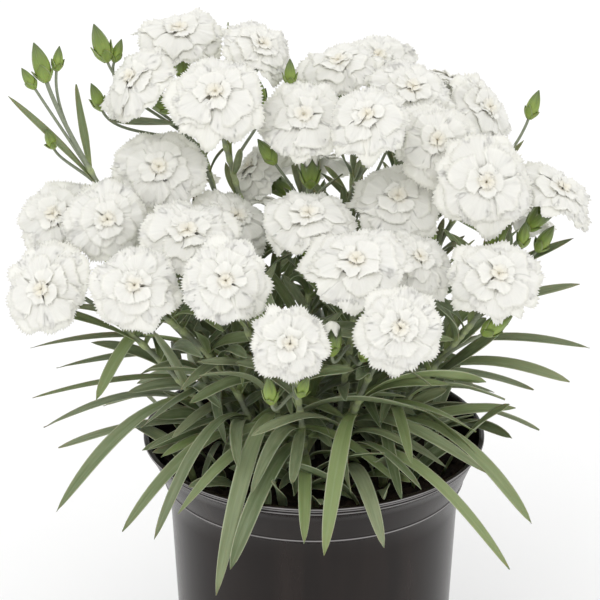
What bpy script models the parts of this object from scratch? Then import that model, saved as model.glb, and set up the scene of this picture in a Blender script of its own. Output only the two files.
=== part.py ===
"""A double white dianthus growing in a dark plastic nursery pot.

Metres, +Z up. The pot stands on Z = 0 with its axis on Z, and the front of the plant faces -Y. The
pieces are the pot, the soil with a plain hole for each stem, the leafy stems (each with its forks,
leaves, buds and the green cups under its blooms) and the blooms, each seated on its cup.
"""

import itertools
import math
from typing import NamedTuple

import bmesh
import bpy
import numpy as np
from mathutils import Vector

MM = 0.001
SEAT_GAP = 0.3 * MM  # left between pieces that touch

# The pot: a flared band over a slightly tapered body
POT_HEIGHT = 165 * MM
RIM_RADIUS = 85.5 * MM
BAND_HEIGHT = 24.5 * MM
BAND_FOOT_RADIUS = 74.5 * MM
BODY_TOP_RADIUS = 72.8 * MM
BODY_FOOT_RADIUS = 65.5 * MM
FOOT_ROUNDING = 2 * MM
WALL = 1.6 * MM
FLOOR = 2.5 * MM
LIP = 2.2 * MM
TURNED_SIDES = 28

# The soil and the holes that the stems stand in
SOIL_TOP = 150 * MM
SOIL_CROWN = 3 * MM
SOCKET_DEPTH = 12 * MM

# The stems: how close together they stand, compared with their tops, and how thick they are
CLUMP = 0.34
STEM_RADIUS = 1.7 * MM
TWIG_RADIUS = 1.1 * MM
MAIN_KNOTS = 5
FORK_KNOTS = 4
CUP_LENGTH = 15 * MM
CUP_RADIUS = 5.6 * MM
BLOOM_HEIGHT = 17 * MM

# The front view that the places below are read in: its target, its height and its distance
FRONT_TARGET = np.array((-7.0, 20.0, 228.3)) * MM
FRONT_RISE = math.radians(23.75)
FRONT_DISTANCE = 1.8

# The room that the plant fills is cut into cells, and each cell belongs to one stem or bloom at most
CELL = 1.5 * MM
ROOM_CORNER = np.array((-190.0, -190.0, 90.0)) * MM
ROOM_CELLS = (254, 254, 200)
BLOOM_OWNER = 100
LEAF_OWNER = 1000
NEIGHBOURS = np.array([(i, j, k) for i in (-1, 0, 1) for j in (-1, 0, 1) for k in (-1, 0, 1)])


class Bloom(NamedTuple):
    """A bloom: its stem, its middle in the front view, its depth, its lean and its width (mm, degrees)."""

    stem: int
    across: float
    up: float
    depth: float
    toward: float
    tilt: float
    width: float


class Bud(NamedTuple):
    """A closed bud: its stem, its middle in the front view, its depth, its lean and its length."""

    stem: int
    across: float
    up: float
    depth: float
    toward: float
    tilt: float
    length: float


class LongLeaf(NamedTuple):
    """A long leaf: its stem, the height of its root, its tip in the front view, its width and its arch."""

    stem: int
    height: float
    across: float
    up: float
    depth: float
    width: float
    arch: float


BLOOMS = (
    Bloom(1, -60, 131, 45, -100, 15, 46),
    Bloom(1, -81, 108, 25, -150, 45, 43),
    Bloom(2, -42, 101, 15, -95, 40, 48),
    Bloom(2, -21, 124, 50, -40, 35, 40),
    Bloom(3, 2, 89, 5, -90, 35, 46),
    Bloom(5, 35, 89, 2, -110, 35, 41),
    Bloom(10, -70, 64, -12, -95, 45, 46),
    Bloom(4, 20, 115, 50, -120, 20, 42),
    Bloom(4, 39, 118, 62, -90, 25, 42),
    Bloom(5, 55, 103, 35, -70, 35, 42),
    Bloom(6, 75, 105, 60, 30, 35, 38),
    Bloom(6, 90, 94, 35, -30, 55, 42),
    Bloom(7, 68, 78, 14, -85, 50, 43),
    Bloom(8, 92, 58, -8, -80, 60, 48),
    Bloom(9, 128, 52, 10, -25, 35, 42),
    Bloom(3, -21, 64, 20, -160, 50, 36),
    Bloom(11, -121, 41, 0, -115, 50, 42),
    Bloom(11, -96, 39, -22, -90, 55, 42),
    Bloom(12, -126, 5, -28, -120, 65, 46),
    Bloom(13, -82, 6, -62, -95, 55, 43),
    Bloom(14, -56, 31, -36, -90, 30, 48),
    Bloom(14, -33, 38, -12, -50, 30, 42),
    Bloom(15, -37, 9, -74, -90, 60, 43),
    Bloom(16, 4, 39, -22, -90, 22, 44),
    Bloom(7, 49, 48, -26, -90, 30, 49),
    Bloom(17, 28, 16, -54, -90, 27, 52),
    Bloom(17, 58, 18, -36, -60, 35, 38),
    Bloom(18, 98, 10, -46, -75, 38, 45),
    Bloom(19, -5, -22, -98, -90, 65, 38),
    Bloom(20, 50, -14, -92, -90, 65, 41),
    Bloom(10, -100, 50, 36, 150, 35, 40),
    Bloom(22, -30, 46, 78, 120, 30, 42),
    Bloom(22, -64, 58, 92, 115, 35, 44),
    Bloom(22, 8, 66, 104, 90, 35, 44),
    Bloom(6, 66, 58, 96, 75, 40, 44),
    Bloom(8, 108, 44, 62, 40, 45, 42),
)

BUDS = (
    Bud(21, -130, 119, 20, 150, 20, 20),
    Bud(21, -121, 121, 24, 60, 15, 12),
    Bud(21, -136, 111, 16, 180, 30, 12),
    Bud(21, -125, 81, 14, -120, 25, 13),
    Bud(1, -100, 129, 58, 160, 20, 20),
    Bud(1, -91, 125, 64, 20, 20, 12),
    Bud(1, -102, 102, 48, 180, 20, 15),
    Bud(2, -21, 106, 50, 160, 10, 16),
    Bud(3, -17, 75, 10, 170, 35, 15),
    Bud(4, -5, 114, 44, 90, 10, 13),
    Bud(16, 5, 66, 6, -90, 5, 20),
    Bud(8, 117, 98, 30, 20, 20, 15),
    Bud(9, 112, 33, 6, -60, 10, 14),
    Bud(9, 123, 31, 14, -10, 30, 16),
    Bud(7, 66, 32, -4, -30, 10, 14),
    Bud(18, 99, -12, -40, 0, 55, 18),
    Bud(17, 16, -19, -72, -90, 5, 18),
    Bud(17, 33, -26, -66, -60, 30, 12),
    Bud(19, -15, -45, -88, -120, 10, 15),
    Bud(19, 2, -43, -92, -40, 25, 13),
)

LONG_LEAVES = (
    LongLeaf(12, 186, -122, -106, -36, 8.5, 0.30),
    LongLeaf(12, 172, -121, -74, -10, 5.5, 0.15),
    LongLeaf(13, 174, -89, -116, -70, 7.0, 0.32),
    LongLeaf(13, 182, -73, -120, -86, 5.0, 0.45),
    LongLeaf(11, 188, -134, -49, 0, 3.5, 0.12),
    LongLeaf(11, 212, -102, -50, -24, 6.5, 0.55),
    LongLeaf(11, 204, -135, -24, 6, 3.2, 0.15),
    LongLeaf(10, 196, -122, -34, 24, 4.5, 0.12),
    LongLeaf(18, 178, 116, -112, -46, 7.5, 0.38),
    LongLeaf(20, 170, 105, -135, -76, 6.5, 0.35),
    LongLeaf(9, 204, 145, -24, 0, 5.0, 0.16),
    LongLeaf(9, 190, 135, -41, -22, 7.5, 0.24),
    LongLeaf(8, 184, 117, -45, 6, 6.0, 0.22),
    LongLeaf(18, 170, 108, -54, -8, 7.0, 0.15),
    LongLeaf(9, 178, 104, -12, -26, 7.5, 0.0),
    LongLeaf(15, 188, -42, -148, -104, 8.8, 0.42),
    LongLeaf(19, 176, -35, -135, -108, 8.5, 0.34),
    LongLeaf(19, 168, 2, -122, -108, 6.5, 0.30),
    LongLeaf(20, 190, 12, -128, -110, 8.8, 0.36),
    LongLeaf(20, 160, 42, -124, -106, 7.8, 0.34),
    LongLeaf(16, 204, -25, -99, -84, 8.0, 0.12),
    LongLeaf(19, 186, -4, -92, -84, 5.5, 0.14),
    LongLeaf(17, 188, 26, -88, -84, 5.5, 0.10),
    LongLeaf(14, 196, -56, -77, -66, 8.0, 0.16),
    LongLeaf(10, 176, -64, -69, -40, 5.0, 0.2),
    LongLeaf(1, 300, -96, 90, 40, 5.0, 0.0),
    LongLeaf(2, 300, -36, 139, 58, 3.6, 0.0),
    LongLeaf(4, 300, -12, 130, 60, 3.6, 0.0),
    LongLeaf(21, 292, -146, 102, 16, 3.4, 0.05),
    LongLeaf(21, 300, -112, 108, 22, 3.4, 0.0),
    LongLeaf(9, 236, 137, 31, 20, 5.0, 0.05),
    LongLeaf(8, 270, 98, 31, 16, 4.5, 0.0),
    LongLeaf(5, 270, 30, 70, 10, 5.0, 0.0),
    LongLeaf(7, 250, 76, 47, 6, 4.5, 0.0),
    LongLeaf(8, 268, 112, 80, 30, 4.0, 0.0),
    LongLeaf(21, 230, -141, 60, 24, 4.0, 0.05),
    LongLeaf(12, 214, -147, -2, -20, 5.0, 0.12),
    LongLeaf(9, 212, 140, 8, -6, 6.0, 0.12),
)

# Each pair of leaves: how far up its stem, how long and wide, and how steep at the root and overall
PAIRS = (
    (12, 88, 8.6, 50, -8),
    (24, 80, 8.4, 55, 5),
    (40, 66, 8.0, 58, 18),
    (60, 48, 6.8, 60, 30),
    (86, 36, 5.2, 62, 40),
    (116, 26, 4.0, 64, 48),
    (150, 20, 3.2, 66, 55),
)
LEAF_TRIES = 14

# The bends tried for a branch: how long it keeps its first and last directions, and how far it swings aside
BENDS = [
    (leave, arrive, swing * MM, math.radians(aside))
    for swing in (0, 7, 14, 24, 36)
    for aside in range(0, 360 if swing else 1, 45)
    for leave, arrive in ((0.35, 0.3), (0.2, 0.2), (0.5, 0.35), (0.35, 0.12), (0.12, 0.4))
]
BUD_SHIFTS = (0, 4, -4, 8, -8, 13, 18)
MOST_RULED_LEAVES = 8
ROOT_ROOM = 14 * MM  # near their roots the leaves of one stem may touch
POT_ROOM = 1.7 * MM  # kept between a leaf's middle plane and the pot
STATIONS = ((36 * MM, (0.4,)), (62 * MM, (0.18, 0.62)), (math.inf, (0.12, 0.4, 0.75)))


def front_axes():
    """Forward and up directions of the front view."""
    sine, cosine = math.sin(FRONT_RISE), math.cos(FRONT_RISE)
    return np.array((0.0, cosine, -sine)), np.array((0.0, sine, cosine))


def seen_from_front(across, up, depth):
    """The point at world Y = depth that the front view shows at `across`, `up` (all in mm)."""
    forward, upward = front_axes()
    eye = FRONT_TARGET - FRONT_DISTANCE * forward
    sight = FRONT_DISTANCE * forward + np.array((across, 0.0, 0.0)) * MM + up * MM * upward
    return eye + sight * ((depth * MM - eye[1]) / sight[1])


def leaning(toward, tilt):
    """A unit direction that leans `tilt` degrees from upright, to the compass direction `toward`."""
    turn, lean = math.radians(toward), math.radians(tilt)
    return np.array((math.cos(turn) * math.sin(lean), math.sin(turn) * math.sin(lean), math.cos(lean)))


def frame_along(axis):
    """Two unit directions square to an axis."""
    side = np.cross(axis, (0.0, 0.0, 1.0) if abs(axis[2]) < 0.95 else (1.0, 0.0, 0.0))
    side = side / np.linalg.norm(side)
    return side, np.cross(axis, side)


def bezier(points, share):
    """Points of a Bezier curve of any degree at each share from 0 to 1."""
    layers = [np.outer(np.ones_like(share), point) for point in points]
    while len(layers) > 1:
        pairs = zip(layers, layers[1:])
        layers = [a + (b - a) * share[:, None] for a, b in pairs]
    return layers[0]


class Room:
    """Keeps the pieces of the plant clear of each other, cell by cell."""

    def __init__(self):
        self.cells = np.zeros(ROOM_CELLS, np.int16)

    def cell_of(self, points):
        return np.floor((points - ROOM_CORNER) / CELL).astype(int)

    def crowding(self, points, *owners):
        """How many of the points lie in a cell that none of these owners holds."""
        held = self.cells[tuple(self.cell_of(points).T)]
        return int(np.sum(~np.isin(held, (0, *owners))))

    def claim(self, points, owner):
        """Gives the owner the free cells at the points and next to them."""
        around = self.cell_of(points)[:, None, :] + NEIGHBOURS[None, :, :]
        index = tuple(around.reshape(-1, 3).T)
        held = self.cells[index]
        self.cells[index] = np.where(held == 0, owner, held)


def pot_radius(height):
    """Outer radius of the pot at a height, by straight runs down the band and the body."""
    heights = (0.0, POT_HEIGHT - BAND_HEIGHT, POT_HEIGHT - BAND_HEIGHT + 0.5 * MM, POT_HEIGHT)
    radii = (BODY_FOOT_RADIUS, BODY_TOP_RADIUS, BAND_FOOT_RADIUS, RIM_RADIUS)
    return np.interp(height, heights, radii)


def clear_of_pot(points, room):
    """Whether the points stay `room` away from the soil, the pot's wall and its rim."""
    reach, height = np.hypot(points[:, 0], points[:, 1]), points[:, 2]
    outer = pot_radius(np.minimum(height, POT_HEIGHT))
    over_rim = height > POT_HEIGHT + room
    outside = reach > outer + room
    inside = (reach < outer - WALL - LIP - room) & (height > SOIL_TOP + SOIL_CROWN + room)
    return bool(np.all(over_rim | outside | inside))


def bloom_space(foot, axis, width):
    """Points that fill the space of a bloom: a cone that opens to its width, under a low crown."""
    side, other = frame_along(axis)
    heights = np.arange(1.0 * MM, BLOOM_HEIGHT, 1.5 * MM)
    spread = width / 2 * MM
    widest = (9 * MM, 12 * MM)
    edge = np.interp(heights, (0.0, *widest, BLOOM_HEIGHT), (5.5 * MM, spread, spread, spread * 0.5))
    turns = np.linspace(0, 2 * math.pi, 48, endpoint=False)
    shares = np.linspace(0.0, 1.0, 15)
    reach = edge[:, None, None] * shares[None, :, None]
    along = side * np.cos(turns)[:, None] + other * np.sin(turns)[:, None]
    points = foot + axis * heights[:, None, None, None] + reach[..., None] * along[None, None, :, :]
    under = foot - np.outer(np.linspace(0, CUP_LENGTH + 6 * MM, 14), axis)
    cup = [under + part * 0.5 * CUP_RADIUS for part in (side, -side, other, -other)]
    return np.concatenate((points.reshape(-1, 3), *cup))


class SetBloom(NamedTuple):
    """A bloom in its place: its foot on its cup, the direction it faces, its width and its stem."""

    foot: np.ndarray
    axis: np.ndarray
    width: float
    stem: int


def set_blooms(room):
    """Each bloom is moved back along the line of sight until it is clear of those in front of it."""
    placed = {}
    for index in sorted(range(len(BLOOMS)), key=lambda number: BLOOMS[number].depth):
        bloom = BLOOMS[index]
        axis = leaning(bloom.toward, bloom.tilt)
        for back in range(0, 60, 2):
            middle = seen_from_front(bloom.across, bloom.up, bloom.depth + back)
            foot = middle - axis * 9 * MM
            space = bloom_space(foot, axis, bloom.width)
            if not room.crowding(space, BLOOM_OWNER + index):
                break
        room.claim(space, BLOOM_OWNER + index)
        placed[index] = SetBloom(foot, axis, bloom.width, bloom.stem)
    return [placed[index] for index in range(len(BLOOMS))]


class Branch(NamedTuple):
    """A stem or one of its forks: the control points of its curve, and its thickness at both ends."""

    controls: tuple
    foot_radius: float
    tip_radius: float

    def points(self, count):
        return bezier(self.controls, np.linspace(0, 1, count))


class End(NamedTuple):
    """What a branch ends in, a bloom's cup or a bud: its foot, direction, length and bloom."""

    foot: np.ndarray
    axis: np.ndarray
    length: float
    bloom: int | None

    def points(self):
        """Points along the middle and down the sides of the cup or bud."""
        side, other = frame_along(self.axis)
        middle = self.foot + np.outer(np.linspace(0, 0.9, 12) * self.length, self.axis)
        around = [middle[5:]]
        reach = 0.55 * CUP_RADIUS if self.bloom is not None else 0.18 * self.length
        around += [middle[5:] + part * reach for part in (side, -side, other, -other)]
        return np.concatenate((middle, *around))

    def profile(self):
        """Distances along the axis and radii of the cup or bud."""
        if self.bloom is not None:
            return ((0.17 * self.length, 0.52 * CUP_RADIUS), (self.length, CUP_RADIUS))
        fullest = 0.25 * self.length
        shape = ((0.25, 0.92), (0.62, 0.96), (1.0, 0.06))
        return tuple((share * self.length, part * fullest) for share, part in shape)


def stem_controls(start, start_direction, end, end_direction, bend):
    """Control points of a curve that leaves and arrives along two directions and swings aside between."""
    leave, arrive, swing, aside = bend
    reach = np.linalg.norm(end - start)
    side, other = frame_along((end - start) / reach)
    away = swing * (side * math.cos(aside) + other * math.sin(aside))
    first = start + start_direction * reach * leave + away * 0.5
    return (start, first, end - end_direction * reach * arrive + away, end)


def stem_count():
    return max(bloom.stem for bloom in BLOOMS)


def stem_feet(blooms):
    """Where each stem leaves the soil: its tops' middle, drawn in towards the axis."""
    feet = {}
    for stem in range(1, stem_count() + 1):
        tops = [bloom.foot for bloom in blooms if bloom.stem == stem]
        if not tops:
            buds = [bud for bud in BUDS if bud.stem == stem]
            tops = [seen_from_front(bud.across, bud.up, bud.depth) for bud in buds]
        middle = np.mean(tops, axis=0)
        feet[stem] = np.array((middle[0] * CLUMP, middle[1] * CLUMP, SOIL_TOP))
    return feet


class Leaf(NamedTuple):
    """A narrow leaf along a curve from its root, past its bend, to its tip, rolled by some degrees."""

    root: np.ndarray
    bend: np.ndarray
    tip: np.ndarray
    width: float
    roll: float

    def half_width(self, share):
        """Half the leaf's width: narrow at the root, soon full, then drawn to a short point."""
        opening = np.minimum(1.0, 0.34 + 4.0 * share)
        return self.width / 2 * opening * (1 - share**3) ** 0.8

    def directions(self, share):
        """The middle line, and the sideways and upward directions of the blade at each share."""
        line = bezier((self.root, self.bend, self.tip), share)
        ahead = (1 - share)[:, None] * (self.bend - self.root) + share[:, None] * (self.tip - self.bend)
        ahead = ahead / np.linalg.norm(ahead, axis=1, keepdims=True)
        away = self.tip - self.root
        level = np.array((-away[1], away[0], 0.0)) / np.hypot(away[0], away[1])
        level = np.broadcast_to(level, ahead.shape)
        face = np.cross(ahead, level)
        face = face / np.linalg.norm(face, axis=1, keepdims=True)
        roll = math.radians(self.roll) * share[:, None]
        sideways = level * np.cos(roll) + face * np.sin(roll)
        return line, sideways, face * np.cos(roll) - level * np.sin(roll)

    def blade(self, share, across):
        """Points of the flat blade on a grid: at each share along the leaf, from edge to edge."""
        line, sideways, _ = self.directions(share)
        half = self.half_width(np.minimum(share, 0.999))
        reach = half[:, None] * np.linspace(-1, 1, across)[None, :]
        return line[:, None, :] + sideways[:, None, :] * reach[:, :, None]

    def stations(self):
        """Where along the leaf its few cross sections stand, more of them on a longer leaf."""
        length = np.linalg.norm(self.tip - self.root)
        return next(shares for longest, shares in STATIONS if length < longest)

    def surface(self, count, across):
        """Points of the smooth blade."""
        return self.blade(np.linspace(0, 1, count), across)

    def faceted(self, count, across):
        """Points of the blade with straight runs between its few cross sections."""
        knots = np.array((0.0, *self.stations(), 1.0))
        sections = self.blade(knots, across)
        share = np.linspace(0, 1, count)
        after = np.clip(np.searchsorted(knots, share), 1, len(knots) - 1)
        part = ((share - knots[after - 1]) / (knots[after] - knots[after - 1]))[:, None, None]
        return sections[after - 1] * (1 - part) + sections[after] * part


class Plant:
    """The plan of the plant: every branch with its cup or bud, and every leaf, for each stem."""

    def __init__(self):
        self.room = Room()
        self.blooms = set_blooms(self.room)
        self.feet = stem_feet(self.blooms)
        self.ends = {stem: self.ends_of(stem) for stem in self.feet}
        self.branches = {stem: [] for stem in self.feet}
        self.leaves = {stem: [] for stem in self.feet}
        for stem in self.feet:
            self.grow_main(stem)
        for stem in self.feet:
            for place in range(1, len(self.ends[stem])):
                self.grow_fork(stem, place)
        for leaf in LONG_LEAVES:
            self.grow_long_leaf(leaf)
        for pair in range(len(PAIRS)):
            for stem in self.feet:
                self.grow_pair(stem, pair)

    def ends_of(self, stem):
        """The cups and then the buds of a stem."""
        ends = []
        for index, bloom in enumerate(self.blooms):
            if bloom.stem == stem:
                foot = bloom.foot - bloom.axis * (CUP_LENGTH + SEAT_GAP)
                ends.append(End(foot, bloom.axis, CUP_LENGTH, index))
        for bud in BUDS:
            if bud.stem == stem:
                axis = leaning(bud.toward, bud.tilt)
                middle = seen_from_front(bud.across, bud.up, bud.depth)
                ends.append(End(middle - axis * bud.length / 2 * MM, axis, bud.length * MM, None))
        return ends

    def clearest(self, choices, stem, place):
        """Takes the first branch and end that cross nothing, or else those that cross least."""
        best, least = None, None
        for branch, end in choices:
            line = branch.points(90)
            near = np.linalg.norm(line - end.foot, axis=1) < 8 * MM
            points = np.concatenate((line, end.points()))
            own = (stem, BLOOM_OWNER + end.bloom) if end.bloom is not None else (stem,)
            crowded = self.room.crowding(line[~near], stem)
            crowded += self.room.crowding(np.concatenate((line[near], end.points())), *own)
            if least is None or crowded < least:
                best, least = (branch, end, points), crowded
            if not crowded:
                break
        self.room.claim(best[2], stem)
        self.branches[stem].append(best[0])
        self.ends[stem][place] = best[1]

    def grow_main(self, stem):
        """The stem up to its first bloom or bud."""
        end = self.ends[stem][0]
        foot = self.feet[stem] + np.array((0, 0, 4 * MM))
        upright = np.array((0.0, 0.0, 1.0))
        curves = (stem_controls(foot, upright, end.foot, end.axis, bend) for bend in BENDS)
        choices = ((Branch(curve, STEM_RADIUS, TWIG_RADIUS * 1.1), end) for curve in curves)
        self.clearest(choices, stem, 0)

    def forks(self, stem, planned):
        """Every fork that may be tried to a bloom or bud, each from a point lower on the main branch."""
        line = self.branches[stem][0].points(41)
        nearest = int(np.argmin(np.linalg.norm(line - planned.foot, axis=1)))
        shifts = BUD_SHIFTS if planned.bloom is None else (0,)
        for bend, shift, below in itertools.product(BENDS, shifts, (14, 18, 10, 22, 6, 26)):
            end = planned._replace(foot=planned.foot + front_axes()[0] * shift * MM)
            start = int(np.clip(nearest - below, 8, 34))
            heading = line[start + 1] - line[start]
            heading = heading / np.linalg.norm(heading)
            controls = stem_controls(line[start], heading, end.foot, end.axis, bend)
            yield Branch(controls, TWIG_RADIUS * 1.15, TWIG_RADIUS * 0.85), end

    def grow_fork(self, stem, place):
        """A fork to a further bloom or bud."""
        self.clearest(self.forks(stem, self.ends[stem][place]), stem, place)

    def place_at(self, stem, height):
        """The point of a stem's main branch at a height."""
        line = self.branches[stem][0].points(120)
        return line[int(np.argmin(np.abs(line[:, 2] - height)))]

    def keep(self, leaf, stem):
        """Keeps a leaf if it is clear of the blooms, the pot, other stems and, past its root, its own."""
        points = np.concatenate((leaf.surface(40, 5), leaf.faceted(40, 5))).reshape(-1, 3)
        away = np.linalg.norm(points - leaf.root, axis=1)
        own_leaves = [LEAF_OWNER * stem + number for number in range(len(self.leaves[stem]))]
        crowded = self.room.crowding(points[away < ROOT_ROOM], stem, *own_leaves)
        crowded += self.room.crowding(points[away >= ROOT_ROOM], stem)
        if crowded or not clear_of_pot(points[away > 4 * MM], POT_ROOM):
            return False
        self.room.claim(points, LEAF_OWNER * stem + len(own_leaves))
        self.leaves[stem].append(leaf)
        return True

    def grow_long_leaf(self, leaf):
        """Tries the long leaf as the front view shows it, then moved back or forward a little."""
        root = self.place_at(leaf.stem, leaf.height * MM)
        for shift in (0, 4, -4, 8, -8, 12, -12, 18, -18, 24):
            tip = seen_from_front(leaf.across, leaf.up, leaf.depth + shift)
            reach = np.linalg.norm(tip - root)
            bend = root + (tip - root) * 0.42 + np.array((0, 0, leaf.arch * reach))
            if self.keep(Leaf(root, bend, tip, leaf.width * MM, 0.0), leaf.stem):
                return

    def grow_pair(self, stem, pair):
        """A pair of opposite leaves, square to the pair below, each turned a little until it is clear."""
        distance, length, width, root_slope, mean_slope = PAIRS[pair]
        line = self.branches[stem][0].points(160)
        along = np.concatenate(([0.0], np.cumsum(np.linalg.norm(np.diff(line, axis=0), axis=1))))
        if along[-1] < (distance + 12) * MM or len(self.leaves[stem]) >= MOST_RULED_LEAVES:
            return
        root = line[int(np.searchsorted(along, distance * MM))]
        outward = math.degrees(math.atan2(self.feet[stem][1], self.feet[stem][0]))
        chance = np.random.default_rng(1000 * stem + pair)
        for side in (0, 180):
            facing = outward + 90 * (pair % 2) + side
            for attempt in range(LEAF_TRIES):
                turn = math.radians(facing + chance.uniform(-1, 1) * (12 + 4 * attempt))
                size = length * MM * chance.uniform(0.8, 1.1) * (1 - 0.025 * attempt)
                slopes = np.radians((root_slope, mean_slope + chance.uniform(-10, 14)))
                out = np.array((math.cos(turn), math.sin(turn), 0.0))
                rise = np.array((0.0, 0.0, 1.0))
                bend = root + size * 0.45 * (out * math.cos(slopes[0]) + rise * math.sin(slopes[0]))
                tip = root + size * (out * math.cos(slopes[1]) + rise * math.sin(slopes[1]))
                if self.keep(Leaf(root, bend, tip, width * MM, chance.uniform(-20, 20)), stem):
                    break


def finish(name, colour, roughness, metallic=0.0):
    """A Principled material of one colour."""
    material = bpy.data.materials.new(name)
    material.use_nodes = True
    shader = material.node_tree.nodes["Principled BSDF"]
    shader.inputs["Base Color"].default_value = (*colour, 1.0)
    shader.inputs["Roughness"].default_value = roughness
    shader.inputs["Metallic"].default_value = metallic
    return material


def add_object(name, mesh, collection, material=None):
    """An object with this mesh, linked to a collection."""
    made = bpy.data.objects.new(name, mesh)
    collection.objects.link(made)
    if material:
        mesh.materials.clear()
        mesh.materials.append(material)
    return made


def evaluated_mesh(source):
    """The object's mesh with its modifiers or bevel, in world space, with its doubles merged."""
    bpy.context.view_layer.update()
    graph = bpy.context.evaluated_depsgraph_get()
    mesh = bpy.data.meshes.new_from_object(source.evaluated_get(graph))
    mesh.transform(source.matrix_world)
    body = bmesh.new()
    body.from_mesh(mesh)
    bmesh.ops.remove_doubles(body, verts=body.verts, dist=0.01 * MM)
    bmesh.ops.recalc_face_normals(body, faces=body.faces)
    body.to_mesh(mesh)
    body.free()
    return mesh


def shade(mesh, degrees):
    """Shades a mesh smooth, except along the edges that turn by more than these degrees."""
    mesh.shade_smooth()
    mesh.set_sharp_from_angle(angle=math.radians(degrees))


def settled(made, material):
    """The object's mesh once its modifiers are applied and removed."""
    bpy.context.view_layer.update()
    graph = bpy.context.evaluated_depsgraph_get()
    mesh = bpy.data.meshes.new_from_object(made.evaluated_get(graph))
    made.modifiers.clear()
    made.data = mesh
    mesh.materials.clear()
    mesh.materials.append(material)
    return mesh


def turned(name, profile, collection, material):
    """A turned piece: a profile in the XZ plane, down its outer side, with a Screw modifier, applied."""
    mesh = bpy.data.meshes.new(name)
    points = [(radius, 0.0, height) for radius, height in profile]
    mesh.from_pydata(points, [(i, i + 1) for i in range(len(points) - 1)], [])
    made = add_object(name, mesh, collection, material)
    screw = made.modifiers.new("Turn", "SCREW")
    screw.steps = screw.render_steps = TURNED_SIDES
    screw.use_merge_vertices = True
    screw.merge_threshold = 0.01 * MM
    shade(settled(made, material), 30)
    return made


def make_pot(collection):
    """The pot: one turned wall with a flared band, a step under it and a flat closed bottom."""
    band_foot = POT_HEIGHT - BAND_HEIGHT
    inner_top = RIM_RADIUS - LIP
    profile = (
        (0.0, FLOOR),
        (BODY_FOOT_RADIUS - WALL, FLOOR),
        (BODY_TOP_RADIUS - WALL, band_foot - 1 * MM),
        (BAND_FOOT_RADIUS - WALL, band_foot + 2 * MM),
        (inner_top - 0.6 * MM, POT_HEIGHT - 2.5 * MM),
        (inner_top, POT_HEIGHT - 0.4 * MM),
        (inner_top + 0.7 * MM, POT_HEIGHT),
        (RIM_RADIUS - 0.7 * MM, POT_HEIGHT),
        (RIM_RADIUS, POT_HEIGHT - 0.7 * MM),
        (RIM_RADIUS - 0.6 * MM, POT_HEIGHT - 2.5 * MM),
        (BAND_FOOT_RADIUS, band_foot),
        (BODY_TOP_RADIUS, band_foot - 0.6 * MM),
        (BODY_FOOT_RADIUS + 0.1 * MM, FOOT_ROUNDING),
        (BODY_FOOT_RADIUS - FOOT_ROUNDING, 0.0),
        (0.0, 0.0),
    )
    return turned("pot", profile, collection, finish("pot_plastic", (0.035, 0.032, 0.033), 0.34))


def soil_radius(height):
    """The soil's radius: the pot's inner wall at that height, less the seat gap."""
    band_foot = POT_HEIGHT - BAND_HEIGHT
    heights = (FLOOR, band_foot - 1 * MM, band_foot + 2 * MM, POT_HEIGHT - 2.5 * MM)
    walls = np.array((BODY_FOOT_RADIUS, BODY_TOP_RADIUS, BAND_FOOT_RADIUS)) - WALL
    radii = (*walls, RIM_RADIUS - LIP - 0.6 * MM)
    return float(np.interp(height, heights, radii)) - SEAT_GAP


def make_soil(plant, collection, cutters):
    """The soil: a turned plug that fits the pot, low in the middle, with a plain hole for each stem."""
    band_foot = POT_HEIGHT - BAND_HEIGHT
    bottom = FLOOR + SEAT_GAP
    profile = (
        (0.0, SOIL_TOP + SOIL_CROWN),
        (40 * MM, SOIL_TOP + SOIL_CROWN * 0.7),
        (soil_radius(SOIL_TOP), SOIL_TOP),
        (soil_radius(band_foot + 2 * MM), band_foot + 2 * MM),
        (soil_radius(band_foot - 1 * MM), band_foot - 1 * MM),
        (soil_radius(bottom), bottom),
        (0.0, bottom),
    )
    soil = turned("soil", profile, collection, finish("soil", (0.035, 0.024, 0.017), 0.95))
    for stem, foot in plant.feet.items():
        bpy.ops.mesh.primitive_cylinder_add(
            vertices=6,
            radius=(STEM_RADIUS + 1.2 * SEAT_GAP) / math.cos(math.pi / 6),
            depth=2 * SOCKET_DEPTH,
            location=(foot[0], foot[1], SOIL_TOP),
        )
        cutter = bpy.context.object
        cutter.name = f"socket_{stem:02d}"
        cutter.hide_render = True
        cutter.display_type = "WIRE"
        for owner in list(cutter.users_collection):
            owner.objects.unlink(cutter)
        cutters.objects.link(cutter)
    cut = soil.modifiers.new("Sockets", "BOOLEAN")
    cut.operation = "DIFFERENCE"
    cut.operand_type = "COLLECTION"
    cut.collection = cutters
    return soil


def stitch(rings, first_point, last_point):
    """A closed mesh through rings of points, each as long as the one before, twice it or half of it."""
    points = [first_point]
    starts = []
    for ring in rings:
        starts.append(len(points))
        points.extend(ring)
    points.append(last_point)
    faces = []
    first, last = len(rings[0]), len(rings[-1])
    faces += [(0, starts[0] + (i + 1) % first, starts[0] + i) for i in range(first)]
    for (low, low_start), (high, high_start) in zip(zip(rings, starts), zip(rings[1:], starts[1:])):
        opens = len(low) <= len(high)
        few, many = sorted((len(low), len(high)))
        few_start, many_start = (low_start, high_start) if opens else (high_start, low_start)
        step = many // few
        for i in range(few):
            here, there = few_start + i, few_start + (i + 1) % few
            across = [many_start + (i * step + k) % many for k in range(step + 1)]
            half = (step + 1) // 2
            strip = [(here, across[k], across[k + 1]) for k in range(half)]
            strip += [(here, across[half], there)]
            strip += [(there, across[k], across[k + 1]) for k in range(half, step)]
            faces += strip if opens else [face[::-1] for face in strip]
    end = len(points) - 1
    faces += [(end, starts[-1] + i, starts[-1] + (i + 1) % last) for i in range(last)]
    return points, faces


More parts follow.
